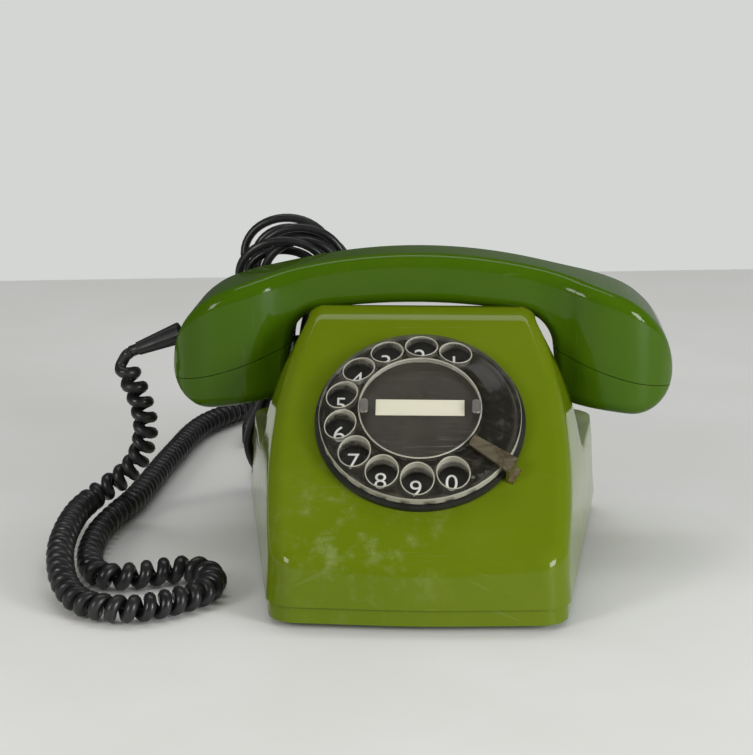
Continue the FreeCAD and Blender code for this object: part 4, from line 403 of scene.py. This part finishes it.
class Grower:
    """A geometry node tree in the making; its inputs are named numbers."""

    def __init__(self, name, **inputs):
        self.tree = bpy.data.node_groups.new(name, "GeometryNodeTree")
        self.inputs = inputs
        sockets = self.tree.interface
        sockets.new_socket("Geometry", in_out="INPUT", socket_type="NodeSocketGeometry")
        self.keys = {}
        for label, value in inputs.items():
            kind = "NodeSocketInt" if isinstance(value, int) else "NodeSocketFloat"
            self.keys[label] = sockets.new_socket(label, in_out="INPUT", socket_type=kind).identifier
        sockets.new_socket("Geometry", in_out="OUTPUT", socket_type="NodeSocketGeometry")
        self.start = self.tree.nodes.new("NodeGroupInput").outputs
        self.end = self.tree.nodes.new("NodeGroupOutput").inputs

    def add(self, kind, **settings):
        """Adds a node; a setting is a property of the node, or else one of its sockets."""
        node = self.tree.nodes.new(kind)
        for key, value in settings.items():
            if hasattr(node, key):
                setattr(node, key, value)
                continue
            socket = node.inputs[int(key[1:]) if key[1:].isdigit() else key.replace("_", " ")]
            if isinstance(value, bpy.types.NodeSocket):
                self.tree.links.new(value, socket)
            else:
                socket.default_value = value
        return node.outputs

    def sum_of(self, operation, first, second):
        return self.add("ShaderNodeMath", operation=operation, s0=first, s1=second)[0]

    def grow(self, name, carrier_points, geometry, finish):
        """Ends the tree, runs it on a line of points and returns the result as an object."""
        real = self.add("GeometryNodeRealizeInstances", Geometry=geometry)[0]
        smooth = self.add("GeometryNodeSetShadeSmooth", Geometry=real)[0]
        finished = self.add("GeometryNodeSetMaterial", Geometry=smooth, Material=finish)[0]
        self.tree.links.new(finished, self.end[0])
        mesh = bpy.data.meshes.new("carrier")
        mesh.from_pydata(carrier_points, [(i, i + 1) for i in range(len(carrier_points) - 1)], [])
        carrier = bpy.data.objects.new("carrier", mesh)
        bpy.context.scene.collection.objects.link(carrier)
        modifier = carrier.modifiers.new("grow", "NODES")
        modifier.node_group = self.tree
        for label, value in self.inputs.items():
            modifier[self.keys[label]] = value
        bpy.context.view_layer.update()
        grown = bpy.data.meshes.new_from_object(carrier.evaluated_get(bpy.context.evaluated_depsgraph_get()))
        carrier.modifiers.remove(modifier)
        bpy.data.objects.remove(carrier)
        piece = bpy.data.objects.new(name, grown)
        bpy.context.scene.collection.objects.link(piece)
        return piece


print("tree helper ready")

# %% [markdown]
# A cord starts as a route: a smooth line through a few points on the table. A curly cord is a helix round
# that line, so its wire is found in two steps: the route is made a curve and read back as points, then
# each curl adds points around it. Where the cord was stretched its curls lie further apart.

# %% Helpers for cords


def mm(*points):
    return [Vector(point) * MM for point in points]


def smooth_spline(name, points, radius=0.0, resolution=4):
    """A curve of one open spline whose control points are given, round in section."""
    data = bpy.data.curves.new(name, "CURVE")
    data.dimensions = "3D"
    data.resolution_u = resolution
    data.bevel_depth = radius
    data.bevel_resolution = 3
    data.use_fill_caps = radius > 0
    spline = data.splines.new("NURBS")
    spline.points.add(len(points) - 1)
    for place, point in zip(spline.points, points):
        place.co = (*point, 1)
    spline.order_u = 3
    spline.use_endpoint_u = True
    spline.use_smooth = True
    piece = bpy.data.objects.new(name, data)
    bpy.context.scene.collection.objects.link(piece)
    return piece


def line_of(points, resolution=12):
    """Points read from the smooth line that some control points make."""
    curve = smooth_spline("route", points, 0.0, resolution)
    mesh = bpy.data.meshes.new_from_object(curve)
    found = [vertex.co.copy() for vertex in mesh.vertices]
    bpy.data.objects.remove(curve)
    bpy.data.meshes.remove(mesh)
    return found


def run_of(points):
    """Distance along a line of points, at each point."""
    total, runs = 0.0, [0.0]
    for before, after in zip(points, points[1:]):
        total += (after - before).length
        runs.append(total)
    return runs


def at_run(points, runs, run):
    """The point at a distance along a line."""
    low = max(0, min(len(runs) - 2, next((i for i, r in enumerate(runs) if r > run), len(runs) - 1) - 1))
    share = (run - runs[low]) / max(1e-9, runs[low + 1] - runs[low])
    return points[low].lerp(points[low + 1], share)


# %% [markdown]
# The handset cord leaves the sleeve at the handset's left end, hangs to the table, runs forward on the
# outside, turns round in a loose fold, comes back inside and goes away behind the telephone into its
# gland.

# %% Curly handset cord
WIRE_RADIUS = 2.45 * MM
SLEEVE_ROOT = Vector((-102.158, 37.691, 87.0)) * MM
SLEEVE_TIP = Vector((-120.757, 38.275, 79.67)) * MM
SLEEVE_WAY = (SLEEVE_TIP - SLEEVE_ROOT).normalized()
GLAND_FACE = Vector((-20.0, 92.0, 17.0)) * MM
HANG = mm((-127.6, 38.2, 74.9), (-125.7, 38.6, 69.4), (-122.7, 39.2, 63.1), (-120.5, 40.0, 56.3),
          (-119.1, 41.0, 49.4), (-119.0, 42.3, 42.4), (-120.6, 43.8, 35.2), (-123.3, 45.0, 28.8),
          (-127.3, 45.6, 23.4), (-132.6, 45.8, 19.0), (-138.8, 45.2, 14.8))
OUTER = mm((-143.6, 41.5, 11.6), (-146.0, 28.0, 11.6), (-146.4, 12.0, 12.0), (-146.0, -5.0, 12.0),
           (-144.8, -22.0, 11.5), (-142.2, -38.0, 10.2), (-138.2, -53.0, 8.4), (-133.2, -64.5, 6.8))
LOWER = mm((-127.2, -72.4, 6.0), (-120.8, -76.6, 6.0), (-113.6, -78.9, 6.0), (-106.8, -79.1, 6.0),
           (-100.1, -75.9, 6.0), (-93.9, -71.2, 6.0))
FOLD = mm((-88.4, -66.6, 6.0), (-83.2, -60.6, 6.0), (-80.2, -52.6, 6.0), (-80.4, -43.6, 6.0),
          (-84.2, -35.8, 6.0), (-90.4, -32.2, 6.0))
UPPER = mm((-97.4, -33.6, 6.0), (-104.0, -37.2, 6.0), (-110.6, -40.8, 6.0), (-117.4, -43.6, 6.0))
INNER = mm((-124.2, -42.6, 6.0), (-129.8, -35.2, 6.0), (-133.4, -22.0, 6.0), (-135.2, -6.0, 6.0),
           (-135.6, 11.0, 6.0), (-134.2, 27.0, 6.0))
AWAY = mm((-131.4, 42.0, 6.0), (-128.4, 55.4, 6.0), (-126.2, 73.8, 6.0), (-124.4, 92.9, 6.0),
          (-122.4, 118.0, 6.0), (-119.5, 142.7, 6.0), (-117.0, 168.8, 6.0), (-112.5, 190.3, 6.0),
          (-105.1, 206.7, 6.0), (-95.7, 222.0, 5.6))
TAIL = mm((-86.0, 239.0, 3.6), (-77.0, 254.0, 2.0), (-63.0, 260.0, 2.0), (-49.0, 252.0, 2.0),
          (-43.0, 232.0, 2.0), (-42.0, 200.0, 2.0), (-43.0, 165.0, 2.0), (-41.0, 140.0, 2.0),
          (-33.0, 123.0, 2.6), (-25.0, 113.5, 7.4))
# Each stretch has its points, its number of curls and their outer radius in millimetres.
STRETCHES = ((HANG, 11, 5.7), (OUTER, 17, 5.8), (LOWER, 7, 5.7), (FOLD, 7, 5.7), (UPPER, 4, 5.7),
             (INNER, 13, 5.7), (AWAY, 40, 5.8))
POINTS_PER_CURL = 12
CURL_FADE = 0.8
CURL_SWELL = 1.02
CURL_BLEND = 6.0 * MM
CURL_GAP = 0.15 * MM
SAMPLE_STEP = 0.25 * MM
PLAIN_SKIP = 24


def curly_cord():
    lead = 2 * WIRE_RADIUS
    start = [SLEEVE_TIP, SLEEVE_TIP + SLEEVE_WAY * lead]
    finish = [GLAND_FACE + Vector((0, 3 * lead, 0)), GLAND_FACE + Vector((0, lead, 0)), GLAND_FACE]
    line = line_of(start + HANG + OUTER + LOWER + FOLD + UPPER + INNER + AWAY + TAIL + finish)
    runs = run_of(line)
    firsts = [stretch[0][0] for stretch in STRETCHES] + [TAIL[0]]
    marks = [runs[min(range(len(line)), key=lambda i: (line[i] - first).length)] for first in firsts]
    counts = [count for _, count, _ in STRETCHES]
    total = sum(counts)
    steps = int(runs[-1] / SAMPLE_STEP) + 1
    samples = [at_run(line, runs, SAMPLE_STEP * i) for i in range(steps)] + [line[-1]]

    def curls(run):
        """Curls made by a distance along the line."""
        shares = [min(1, max(0, (run - a) / (b - a))) for a, b in zip(marks, marks[1:])]
        return sum(count * share for count, share in zip(counts, shares))

    def width(run):
        """Outer radius of the curls at a distance along the line."""
        place = min(max(run, marks[0]), marks[-1] - 1e-6)
        index = max(i for i in range(len(counts)) if marks[i] <= place)
        return STRETCHES[index][2] * MM

    def averaged(value, run):
        """A value smoothed over a short stretch of the line."""
        return sum(value(run + CURL_BLEND * share) for share in (-1, -0.5, 0, 0.5, 1)) / 5

    points = []
    side = None
    wanted = 0.0
    for index, here in enumerate(samples[:-1]):
        ahead = (samples[index + 1] - samples[max(0, index - 1)]).normalized()
        side = ahead.cross(Vector((0, 1, 0))) if side is None else side
        side = (side - ahead * side.dot(ahead)).normalized()
        run = index * SAMPLE_STEP
        turns = averaged(curls, run)
        ramp = min(1.0, turns / CURL_FADE, (total - turns) / CURL_FADE)
        radius = (averaged(width, run) - WIRE_RADIUS) * ramp * ramp * (3 - 2 * ramp) * CURL_SWELL
        plain = turns <= 0 or turns >= total
        if plain and index % PLAIN_SKIP == 0 or not plain and turns >= wanted:
            if not plain:
                wanted = turns + 1 / POINTS_PER_CURL
            centre = here.copy()
            centre.z = max(centre.z, radius + WIRE_RADIUS + CURL_GAP)
            angle = 2 * math.pi * turns
            around = side * math.cos(angle) + side.cross(ahead) * math.sin(angle)
            points.append(centre + around * radius)
    points[:1] = [SLEEVE_TIP, SLEEVE_TIP + SLEEVE_WAY * lead]
    points = [p for p in points if (p - GLAND_FACE).length > 2 * lead]
    points += [GLAND_FACE + Vector((0, lead, 0)), GLAND_FACE]
    return line_of(points, 2)


def wire_along(name, points, radius, sides, finish):
    """A round wire swept along a line of points."""
    wire = Grower(name, Radius=radius, Sides=sides)
    route = wire.add("GeometryNodeMeshToCurve", Mesh=wire.start["Geometry"])[0]
    section = wire.add("GeometryNodeCurvePrimitiveCircle", Radius=wire.start["Radius"],
                       Resolution=wire.start["Sides"])[0]
    swept = wire.add("GeometryNodeCurveToMesh", Curve=route, Profile_Curve=section, Fill_Caps=True)[0]
    return wire.grow(name, points, swept, finish)


curly_points = curly_cord()
curly = wire_along("curly_cord", curly_points, WIRE_RADIUS, 10, cord_black)
curly_length = run_of(curly_points)[-1]
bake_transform(curly)
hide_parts("handset_cord")
print("curly cord", len(curly.data.polygons), "faces", round(curly_length, 3), "m of wire")

# %% [markdown]
# The rubber sleeve at the handset has ridges along it. Its section is a star with many points, and its
# width shrinks from the root to the tip.

# %% Ridged sleeve
SLEEVE_STEPS = 12


def ridged_sleeve():
    sleeve = Grower("ridged_sleeve", Ridges=12, Root=4.7 * MM, Tip=2.9 * MM, Groove=0.9)
    given = sleeve.start
    route = sleeve.add("GeometryNodeMeshToCurve", Mesh=given["Geometry"])[0]
    along = sleeve.add("GeometryNodeSplineParameter")[0]
    width = sleeve.add("ShaderNodeMapRange", s0=along, s3=given["Root"], s4=given["Tip"])[0]
    star = sleeve.add("GeometryNodeCurveStar", Points=given["Ridges"], Inner_Radius=given["Groove"],
                      Outer_Radius=1.0)[0]
    swept = sleeve.add("GeometryNodeCurveToMesh", Curve=route, Profile_Curve=star, Scale=width,
                       Fill_Caps=True)[0]
    line = [SLEEVE_ROOT.lerp(SLEEVE_TIP, i / SLEEVE_STEPS) for i in range(SLEEVE_STEPS + 1)]
    return sleeve.grow("ridged_sleeve", line, swept, rubber_black)


sleeve_piece = ridged_sleeve()
sleeve_piece.data.set_sharp_from_angle(angle=math.radians(40))
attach(sleeve_piece, "handset")
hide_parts("handset_cord_boot")
print("sleeve", len(sleeve_piece.data.polygons), "faces")

# %% [markdown]
# The line cord is smooth. Most of it is wound in a long hank that stands behind the telephone, tied round
# its waist, so its loops fan out at the top where nothing holds them. A short tail leads to the plug.

# %% Line cord with its hank
LINE_RADIUS = 1.9 * MM
LINE_GLAND_FACE = Vector((20.0, 92.0, 17.0)) * MM
HANK_HEIGHT = 131.0 * MM
HANK_WAIST = 11.0 * MM
HANK_END_RADIUS = 23.0 * MM
HANK_STEP = 4.4 * MM
HANK_LAYERS = 4
HANK_LOOPS = 2
HANK_LEAN = math.radians(11.5)
HANK_X = -58.0 * MM
HANK_FOOT_Y = 98.0 * MM
PLUG_ENTRY = Vector((-79.0, 168.0, 6.6)) * MM
LINE_LEAD = mm((20, 104, 17), (17, 117, 11), (7, 126, 4.5), (-8, 122, 2.0), (-26, 108, 2.0))
LINE_LEAD_END = -38.0 * MM
LINE_TAIL_START = -69.1 * MM
LINE_TAIL = mm((-75.4, 108.1, 4.2), (-79.1, 114.4, 3.0), (-79.6, 122, 2.0), (-80.4, 134, 2.0),
               (-79.8, 146.5, 4.2), (-79, 157.5, 6.6))
TABLE_GAP = 0.1 * MM
POINTS_PER_LOOP = 24
FAN_STEP = 4.3 * MM
TILTS = (-4, 9, -8, 5, 9, -2, 7, -6)
SHRINKS = (0.09, 0.05, 0.16, 0.07, 0.13, 0.06, 0.18, 0.1)

hank_half = HANK_HEIGHT / 2
end_v = hank_half - HANK_END_RADIUS
side_radius = (HANK_WAIST ** 2 + end_v ** 2 - HANK_END_RADIUS ** 2) / (2 * (HANK_END_RADIUS - HANK_WAIST))
side_tilt = math.atan2(end_v, HANK_WAIST + side_radius)
hank_depth = HANK_STEP * (HANK_LAYERS - 1)
hank_foot_z = LINE_RADIUS + TABLE_GAP + hank_depth / 2 * math.sin(HANK_LEAN)
hank_place = Vector((HANK_X, HANK_FOOT_Y - hank_half * math.sin(HANK_LEAN),
                     hank_foot_z + hank_half * math.cos(HANK_LEAN)))
hank_turn = Matrix.Rotation(HANK_LEAN, 3, "X")


def loop_quarter(share):
    """A place between the foot and the waist of the outermost loop, and the way into the loop."""
    end_turn = math.pi / 2 + side_tilt
    along = share * (end_turn * HANK_END_RADIUS + side_tilt * side_radius)
    if along < end_turn * HANK_END_RADIUS:
        angle = -math.pi / 2 - along / HANK_END_RADIUS
        way = Vector((math.cos(angle), math.sin(angle)))
        return way * HANK_END_RADIUS - Vector((0, end_v)), -way
    angle = (along - end_turn * HANK_END_RADIUS) / side_radius - side_tilt
    way = Vector((math.cos(angle), math.sin(angle)))
    return way * side_radius - Vector((side_radius + HANK_WAIST, 0)), way


def smooth_step(value):
    value = min(1.0, max(0.0, value))
    return value * value * (3 - 2 * value)


def hank_place_at(turn):
    """The cord's middle after a number of turns; each loop leans its own way above the tie."""
    quarter = int(math.floor(4 * turn)) % 4
    share = 4 * turn - math.floor(4 * turn)
    place, inward = loop_quarter(1 - share if quarter % 2 else share)
    flip = Vector((-1 if quarter in (2, 3) else 1, -1 if quarter in (1, 2) else 1))
    swing = turn % (2 * HANK_LOOPS)
    depth = HANK_STEP * min(swing, 2 * HANK_LOOPS - swing)
    u, v = ((place + inward * depth)[i] * flip[i] for i in (0, 1))
    layer = sum(smooth_step(2 * (turn - i * HANK_LOOPS) + 0.5) for i in range(1, HANK_LAYERS))
    w = HANK_STEP * layer - hank_depth / 2
    if v > 0:
        loop = min(len(TILTS) - 1, int(turn))
        free = smooth_step(v / hank_half)
        tilt = math.radians(TILTS[loop]) * free
        v *= 1 - SHRINKS[loop] * free
        u, v = u * math.cos(tilt) + v * math.sin(tilt), v * math.cos(tilt) - u * math.sin(tilt)
        w += free * (FAN_STEP * loop - hank_depth / 2 - w)
    return hank_place + hank_turn @ Vector((u, w, v))


def line_cord():
    loops = HANK_LAYERS * HANK_LOOPS
    first, last = hank_place_at(0), hank_place_at(loops)
    level = Vector((2 * LINE_RADIUS, 0, 0))
    lead = [LINE_GLAND_FACE] + LINE_LEAD + [Vector((LINE_LEAD_END, first.y, first.z)), first + level]
    turns = [hank_place_at(i / POINTS_PER_LOOP) for i in range(loops * POINTS_PER_LOOP + 1)]
    tail = [last - level, Vector((LINE_TAIL_START, last.y, last.z))] + LINE_TAIL
    points = lead + turns + tail + [PLUG_ENTRY]
    return smooth_spline("line_cord", points, LINE_RADIUS, 4), points


line_piece, line_points = line_cord()
dress(line_piece, cord_black)
line_length = run_of(line_of(line_points, 6))[-1]
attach(line_piece, "base")
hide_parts("line_cord_lead", "line_cord_hank", "line_cord_tail")
print("line cord", round(line_length, 3), "m")

# %% [markdown]
# The number plate carries ten white digits, printed upright, one under each finger hole. Blender's own
# typeface is close to the plain signwriter's digits on such dials. Each text is made a mesh and laid on
# the plate.

# %% Digits
DIGITS = "1234567890"
dial_turn = Matrix.Rotation(PANEL_SLOPE, 3, "X")
HOLE_CIRCLE = 31.3
FIRST_HOLE = 64.0
HOLE_STEP = 25.6
PLATE_TOP = 2.0
DIGIT_SIZE = 10.4 * MM
DIGIT_SINK = 0.9
DIGIT_SHIFT = -0.6
DOT_PLACE = (20.5, -26.4)
DOT_RADIUS = 0.7
DOT_RAISE = 0.05
DOT_SIDES = 24


def on_dial(x, y, height):
    return DIAL_CENTRE + dial_turn @ (Vector((x, y, height)) * MM)


def digit_mesh(text, x, y):
    data = bpy.data.curves.new("digit", "FONT")
    data.body = text
    data.size = DIGIT_SIZE
    data.align_x = "CENTER"
    data.align_y = "CENTER"
    data.extrude = 0.03 * MM
    data.offset = -0.04 * MM
    obj = bpy.data.objects.new("digit", data)
    bpy.context.scene.collection.objects.link(obj)
    bpy.context.view_layer.update()
    mesh = bpy.data.meshes.new_from_object(obj.evaluated_get(bpy.context.evaluated_depsgraph_get()))
    mesh.transform(Matrix.Translation(on_dial(x, y, PLATE_TOP + 0.03)) @ dial_turn.to_4x4())
    bpy.data.objects.remove(obj)
    return mesh


def dot_mesh():
    """The small white dot beside the last digit."""
    angles = [2 * math.pi * i / DOT_SIDES for i in range(DOT_SIDES)]
    edge = [on_dial(DOT_PLACE[0] + DOT_RADIUS * math.cos(a), DOT_PLACE[1] + DOT_RADIUS * math.sin(a),
                    PLATE_TOP + DOT_RAISE) for a in angles]
    mesh = bpy.data.meshes.new("dot")
    mesh.from_pydata(edge, [], [list(range(DOT_SIDES))])
    return mesh


def joined(name, meshes):
    """One object from several meshes that already are in place."""
    work = bmesh.new()
    for mesh in meshes:
        work.from_mesh(mesh)
        bpy.data.meshes.remove(mesh)
    mesh = bpy.data.meshes.new(name)
    work.to_mesh(mesh)
    work.free()
    piece = bpy.data.objects.new(name, mesh)
    bpy.context.scene.collection.objects.link(piece)
    return piece


digits = []
for index, text in enumerate(DIGITS):
    angle = math.radians(FIRST_HOLE + HOLE_STEP * index)
    x = HOLE_CIRCLE * math.cos(angle) + DIGIT_SHIFT
    y = HOLE_CIRCLE * math.sin(angle) - DIGIT_SINK
    digits.append(digit_mesh(text, x, y))
digits.append(dot_mesh())
digit_piece = joined("dial_digits", digits)
dress(digit_piece, digit_white)
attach(digit_piece, "base")
print("digits", len(digit_piece.data.polygons), "faces")

# %% [markdown]
# The clear wheel catches the light at its edges, and pale rings paint that highlight: a fine ring runs round
# the raised middle, and each finger hole has a rounded lip painted pale. One tree makes both: it sets a
# number of rings at even steps round the axis, each leaning with the dish of the wheel.

# %% Rings on the wheel
DISH_SLOPE = 16.4
DISH_HEIGHT = 8.45
MIDDLE_RADIUS = 23.6
MIDDLE_HEIGHT = 10.7
LIP_RADIUS = 6.35
LIP_WIRE = 0.22
MIDDLE_WIRE = 0.3
RING_SINK = 0.1
# A pale, nearly solid clear finish for the rings: painted highlights on the wheel's edges.
rim_highlight_clear = clear_plastic("rim_highlight_clear", (0.5, 0.48, 0.4), (0.7, 0.68, 0.56), 0.5, 0.85)


def rings_round(name, count, circle, height, lean, radius, wire):
    rings = Grower(name, Count=count, Circle=circle, Height=height, Lean=math.radians(lean),
                   First=math.radians(FIRST_HOLE), Step=math.radians(HOLE_STEP), Radius=radius, Wire=wire)
    given = rings.start
    index = rings.add("GeometryNodeInputIndex")[0]
    angle = rings.sum_of("ADD", rings.sum_of("MULTIPLY", index, given["Step"]), given["First"])
    x = rings.sum_of("MULTIPLY", rings.sum_of("COSINE", angle, 0.0), given["Circle"])
    y = rings.sum_of("MULTIPLY", rings.sum_of("SINE", angle, 0.0), given["Circle"])
    place = rings.add("ShaderNodeCombineXYZ", X=x, Y=y, Z=given["Height"])[0]
    turn = rings.add("ShaderNodeCombineXYZ", Y=given["Lean"], Z=angle)[0]
    points = rings.add("GeometryNodePoints", Count=given["Count"], Position=place)[0]
    loop = rings.add("GeometryNodeCurvePrimitiveCircle", Radius=given["Radius"], Resolution=72)[0]
    section = rings.add("GeometryNodeCurvePrimitiveCircle", Radius=given["Wire"], Resolution=8)[0]
    ring = rings.add("GeometryNodeCurveToMesh", Curve=loop, Profile_Curve=section)[0]
    placed = rings.add("GeometryNodeInstanceOnPoints", Points=points, Instance=ring, Rotation=turn)[0]
    piece = rings.grow(name, [(0, 0, 0)], placed, rim_highlight_clear)
    piece.data.transform(Matrix.Translation(DIAL_CENTRE) @ dial_turn.to_4x4())
    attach(piece, "dial")
    return piece


# The lips and the middle ring are pale lines: a painted highlight on each edge.
lips = rings_round("hole_lip_highlights", len(DIGITS), HOLE_CIRCLE * MM, (DISH_HEIGHT - RING_SINK) * MM, DISH_SLOPE,
                   LIP_RADIUS * MM, LIP_WIRE * MM)
middle = rings_round("middle_highlight_ring", 1, 0.0, (MIDDLE_HEIGHT - RING_SINK) * MM, 0.0, MIDDLE_RADIUS * MM,
                     MIDDLE_WIRE * MM)
print("rings", len(lips.data.polygons), "and", len(middle.data.polygons), "faces")

# %% [markdown]
# The telephone stands on a pale table in front of a pale wall. The table ends at the wall's foot, and the
# world shows the wall's colour to the camera, so that no wall hides the back in other views. Mirror-like
# surfaces see a darker room with a paler strip behind, which keeps the greens deep.

# %% Table and light
TABLE_COLOUR = (0.66, 0.655, 0.63)
TABLE_COLOUR_PALE = (0.69, 0.69, 0.675)
TABLE_REACH = 6.0
WALL_COLOUR = (0.655, 0.672, 0.648)
WALL_FOOT_LEFT = 0.62
WALL_FOOT_RIGHT = 0.68
WALL_FOOT_REACH = 0.25
ROOM_EVEN = 0.62
ROOM_SHINY = 0.06
ROOM_STRIP = 0.3
LAMP_TARGET = (0, 0, 0.08)
LAMPS = (
    ("window_left", (-0.85, -0.85, 0.55), (0.3, 0.4), 5.0, (1.0, 0.98, 0.94)),
    ("window_right", (0.85, -0.68, 0.32), (0.34, 0.44), 9.0, (0.98, 0.99, 1.0)),
    ("ceiling", (0.0, 0.35, 1.3), (1.2, 0.3), 3.5, (1.0, 1.0, 1.0)),
)


def make_table():
    mesh = bpy.data.meshes.new("table")
    slant = (WALL_FOOT_RIGHT - WALL_FOOT_LEFT) / (2 * WALL_FOOT_REACH)
    foot = (WALL_FOOT_LEFT + WALL_FOOT_RIGHT) / 2
    far_left, far_right = foot - slant * TABLE_REACH, foot + slant * TABLE_REACH
    mesh.from_pydata([(-TABLE_REACH, -TABLE_REACH, 0), (TABLE_REACH, -TABLE_REACH, 0),
                      (TABLE_REACH, far_right, 0), (-TABLE_REACH, far_left, 0)], [], [(0, 1, 2, 3)])
    table = bpy.data.objects.new("table", mesh)
    bpy.context.scene.collection.objects.link(table)
    finish = Finish("table_pale", TABLE_COLOUR, 0.6)
    cloud = finish.ramp(finish.noise(9, 6.0), 0.35, 0.7)
    finish.set("Base Color", finish.mix(cloud, TABLE_COLOUR, TABLE_COLOUR_PALE))
    finish.bump(finish.noise(260, 5.0), 0.05, 0.0006)
    dress(table, finish.material)
    return table


def make_lamp(name, place, size, power, colour):
    data = bpy.data.lights.new(name, "AREA")
    data.shape = "RECTANGLE"
    data.size, data.size_y = size
    data.energy = power
    data.color = colour
    lamp = bpy.data.objects.new(name, data)
    bpy.context.scene.collection.objects.link(lamp)
    lamp.location = place
    lamp.rotation_euler = (Vector(LAMP_TARGET) - Vector(place)).to_track_quat("-Z", "Y").to_euler()
    return lamp


def make_world():
    """A room that is the wall to the camera, even light to dull surfaces and a dim picture to glossy ones."""
    world = bpy.data.worlds.new("room")
    bpy.context.scene.world = world
    world.use_nodes = True
    nodes, links = world.node_tree.nodes, world.node_tree.links
    rays = nodes.new("ShaderNodeLightPath").outputs
    way = nodes.new("ShaderNodeSeparateXYZ")
    links.new(nodes.new("ShaderNodeTexCoord").outputs["Generated"], way.inputs[0])

    def ramp(value, low, high, first, last):
        node = nodes.new("ShaderNodeMapRange")
        for socket, number in (("From Min", low), ("From Max", high), ("To Min", first), ("To Max", last)):
            node.inputs[socket].default_value = number
        links.new(value, node.inputs["Value"])
        return node.outputs["Result"]

    def background(colour, strength):
        node = nodes.new("ShaderNodeBackground")
        node.inputs["Color"].default_value = (*colour, 1)
        if isinstance(strength, bpy.types.NodeSocket):
            links.new(strength, node.inputs["Strength"])
        else:
            node.inputs["Strength"].default_value = strength
        return node.outputs["Background"]

    def mixed(mask, first, second):
        node = nodes.new("ShaderNodeMixShader")
        for index, value in enumerate((mask, first, second)):
            links.new(value, node.inputs[index])
        return node.outputs["Shader"]

    def product(first, second, more):
        node = nodes.new("ShaderNodeMath")
        node.operation = "MULTIPLY_ADD"
        links.new(first, node.inputs[0])
        links.new(second, node.inputs[1])
        node.inputs[2].default_value = more
        return node.outputs["Value"]

    low = ramp(way.outputs["Z"], 0.35, 0.5, ROOM_STRIP, 0.0)
    right = ramp(way.outputs["X"], -0.1, 0.4, 0.0, 1.0)
    back = ramp(way.outputs["Y"], 0.1, 0.4, 0.0, 1.0)
    behind = product(product(low, right, 0.0), back, ROOM_SHINY)
    even = background((0.93, 0.94, 0.94), ROOM_EVEN)
    shiny = background((0.93, 0.95, 0.95), behind)
    wall = background(WALL_COLOUR, 1.0)
    room = mixed(rays["Is Camera Ray"], mixed(rays["Is Glossy Ray"], even, shiny), wall)
    links.new(room, nodes["World Output"].inputs["Surface"])
    nodes.remove(nodes["Background"])


make_table()
make_world()
for lamp_facts in LAMPS:
    make_lamp(*lamp_facts)
bpy.context.scene.view_settings.view_transform = "Standard"
print("lamps", len(LAMPS))
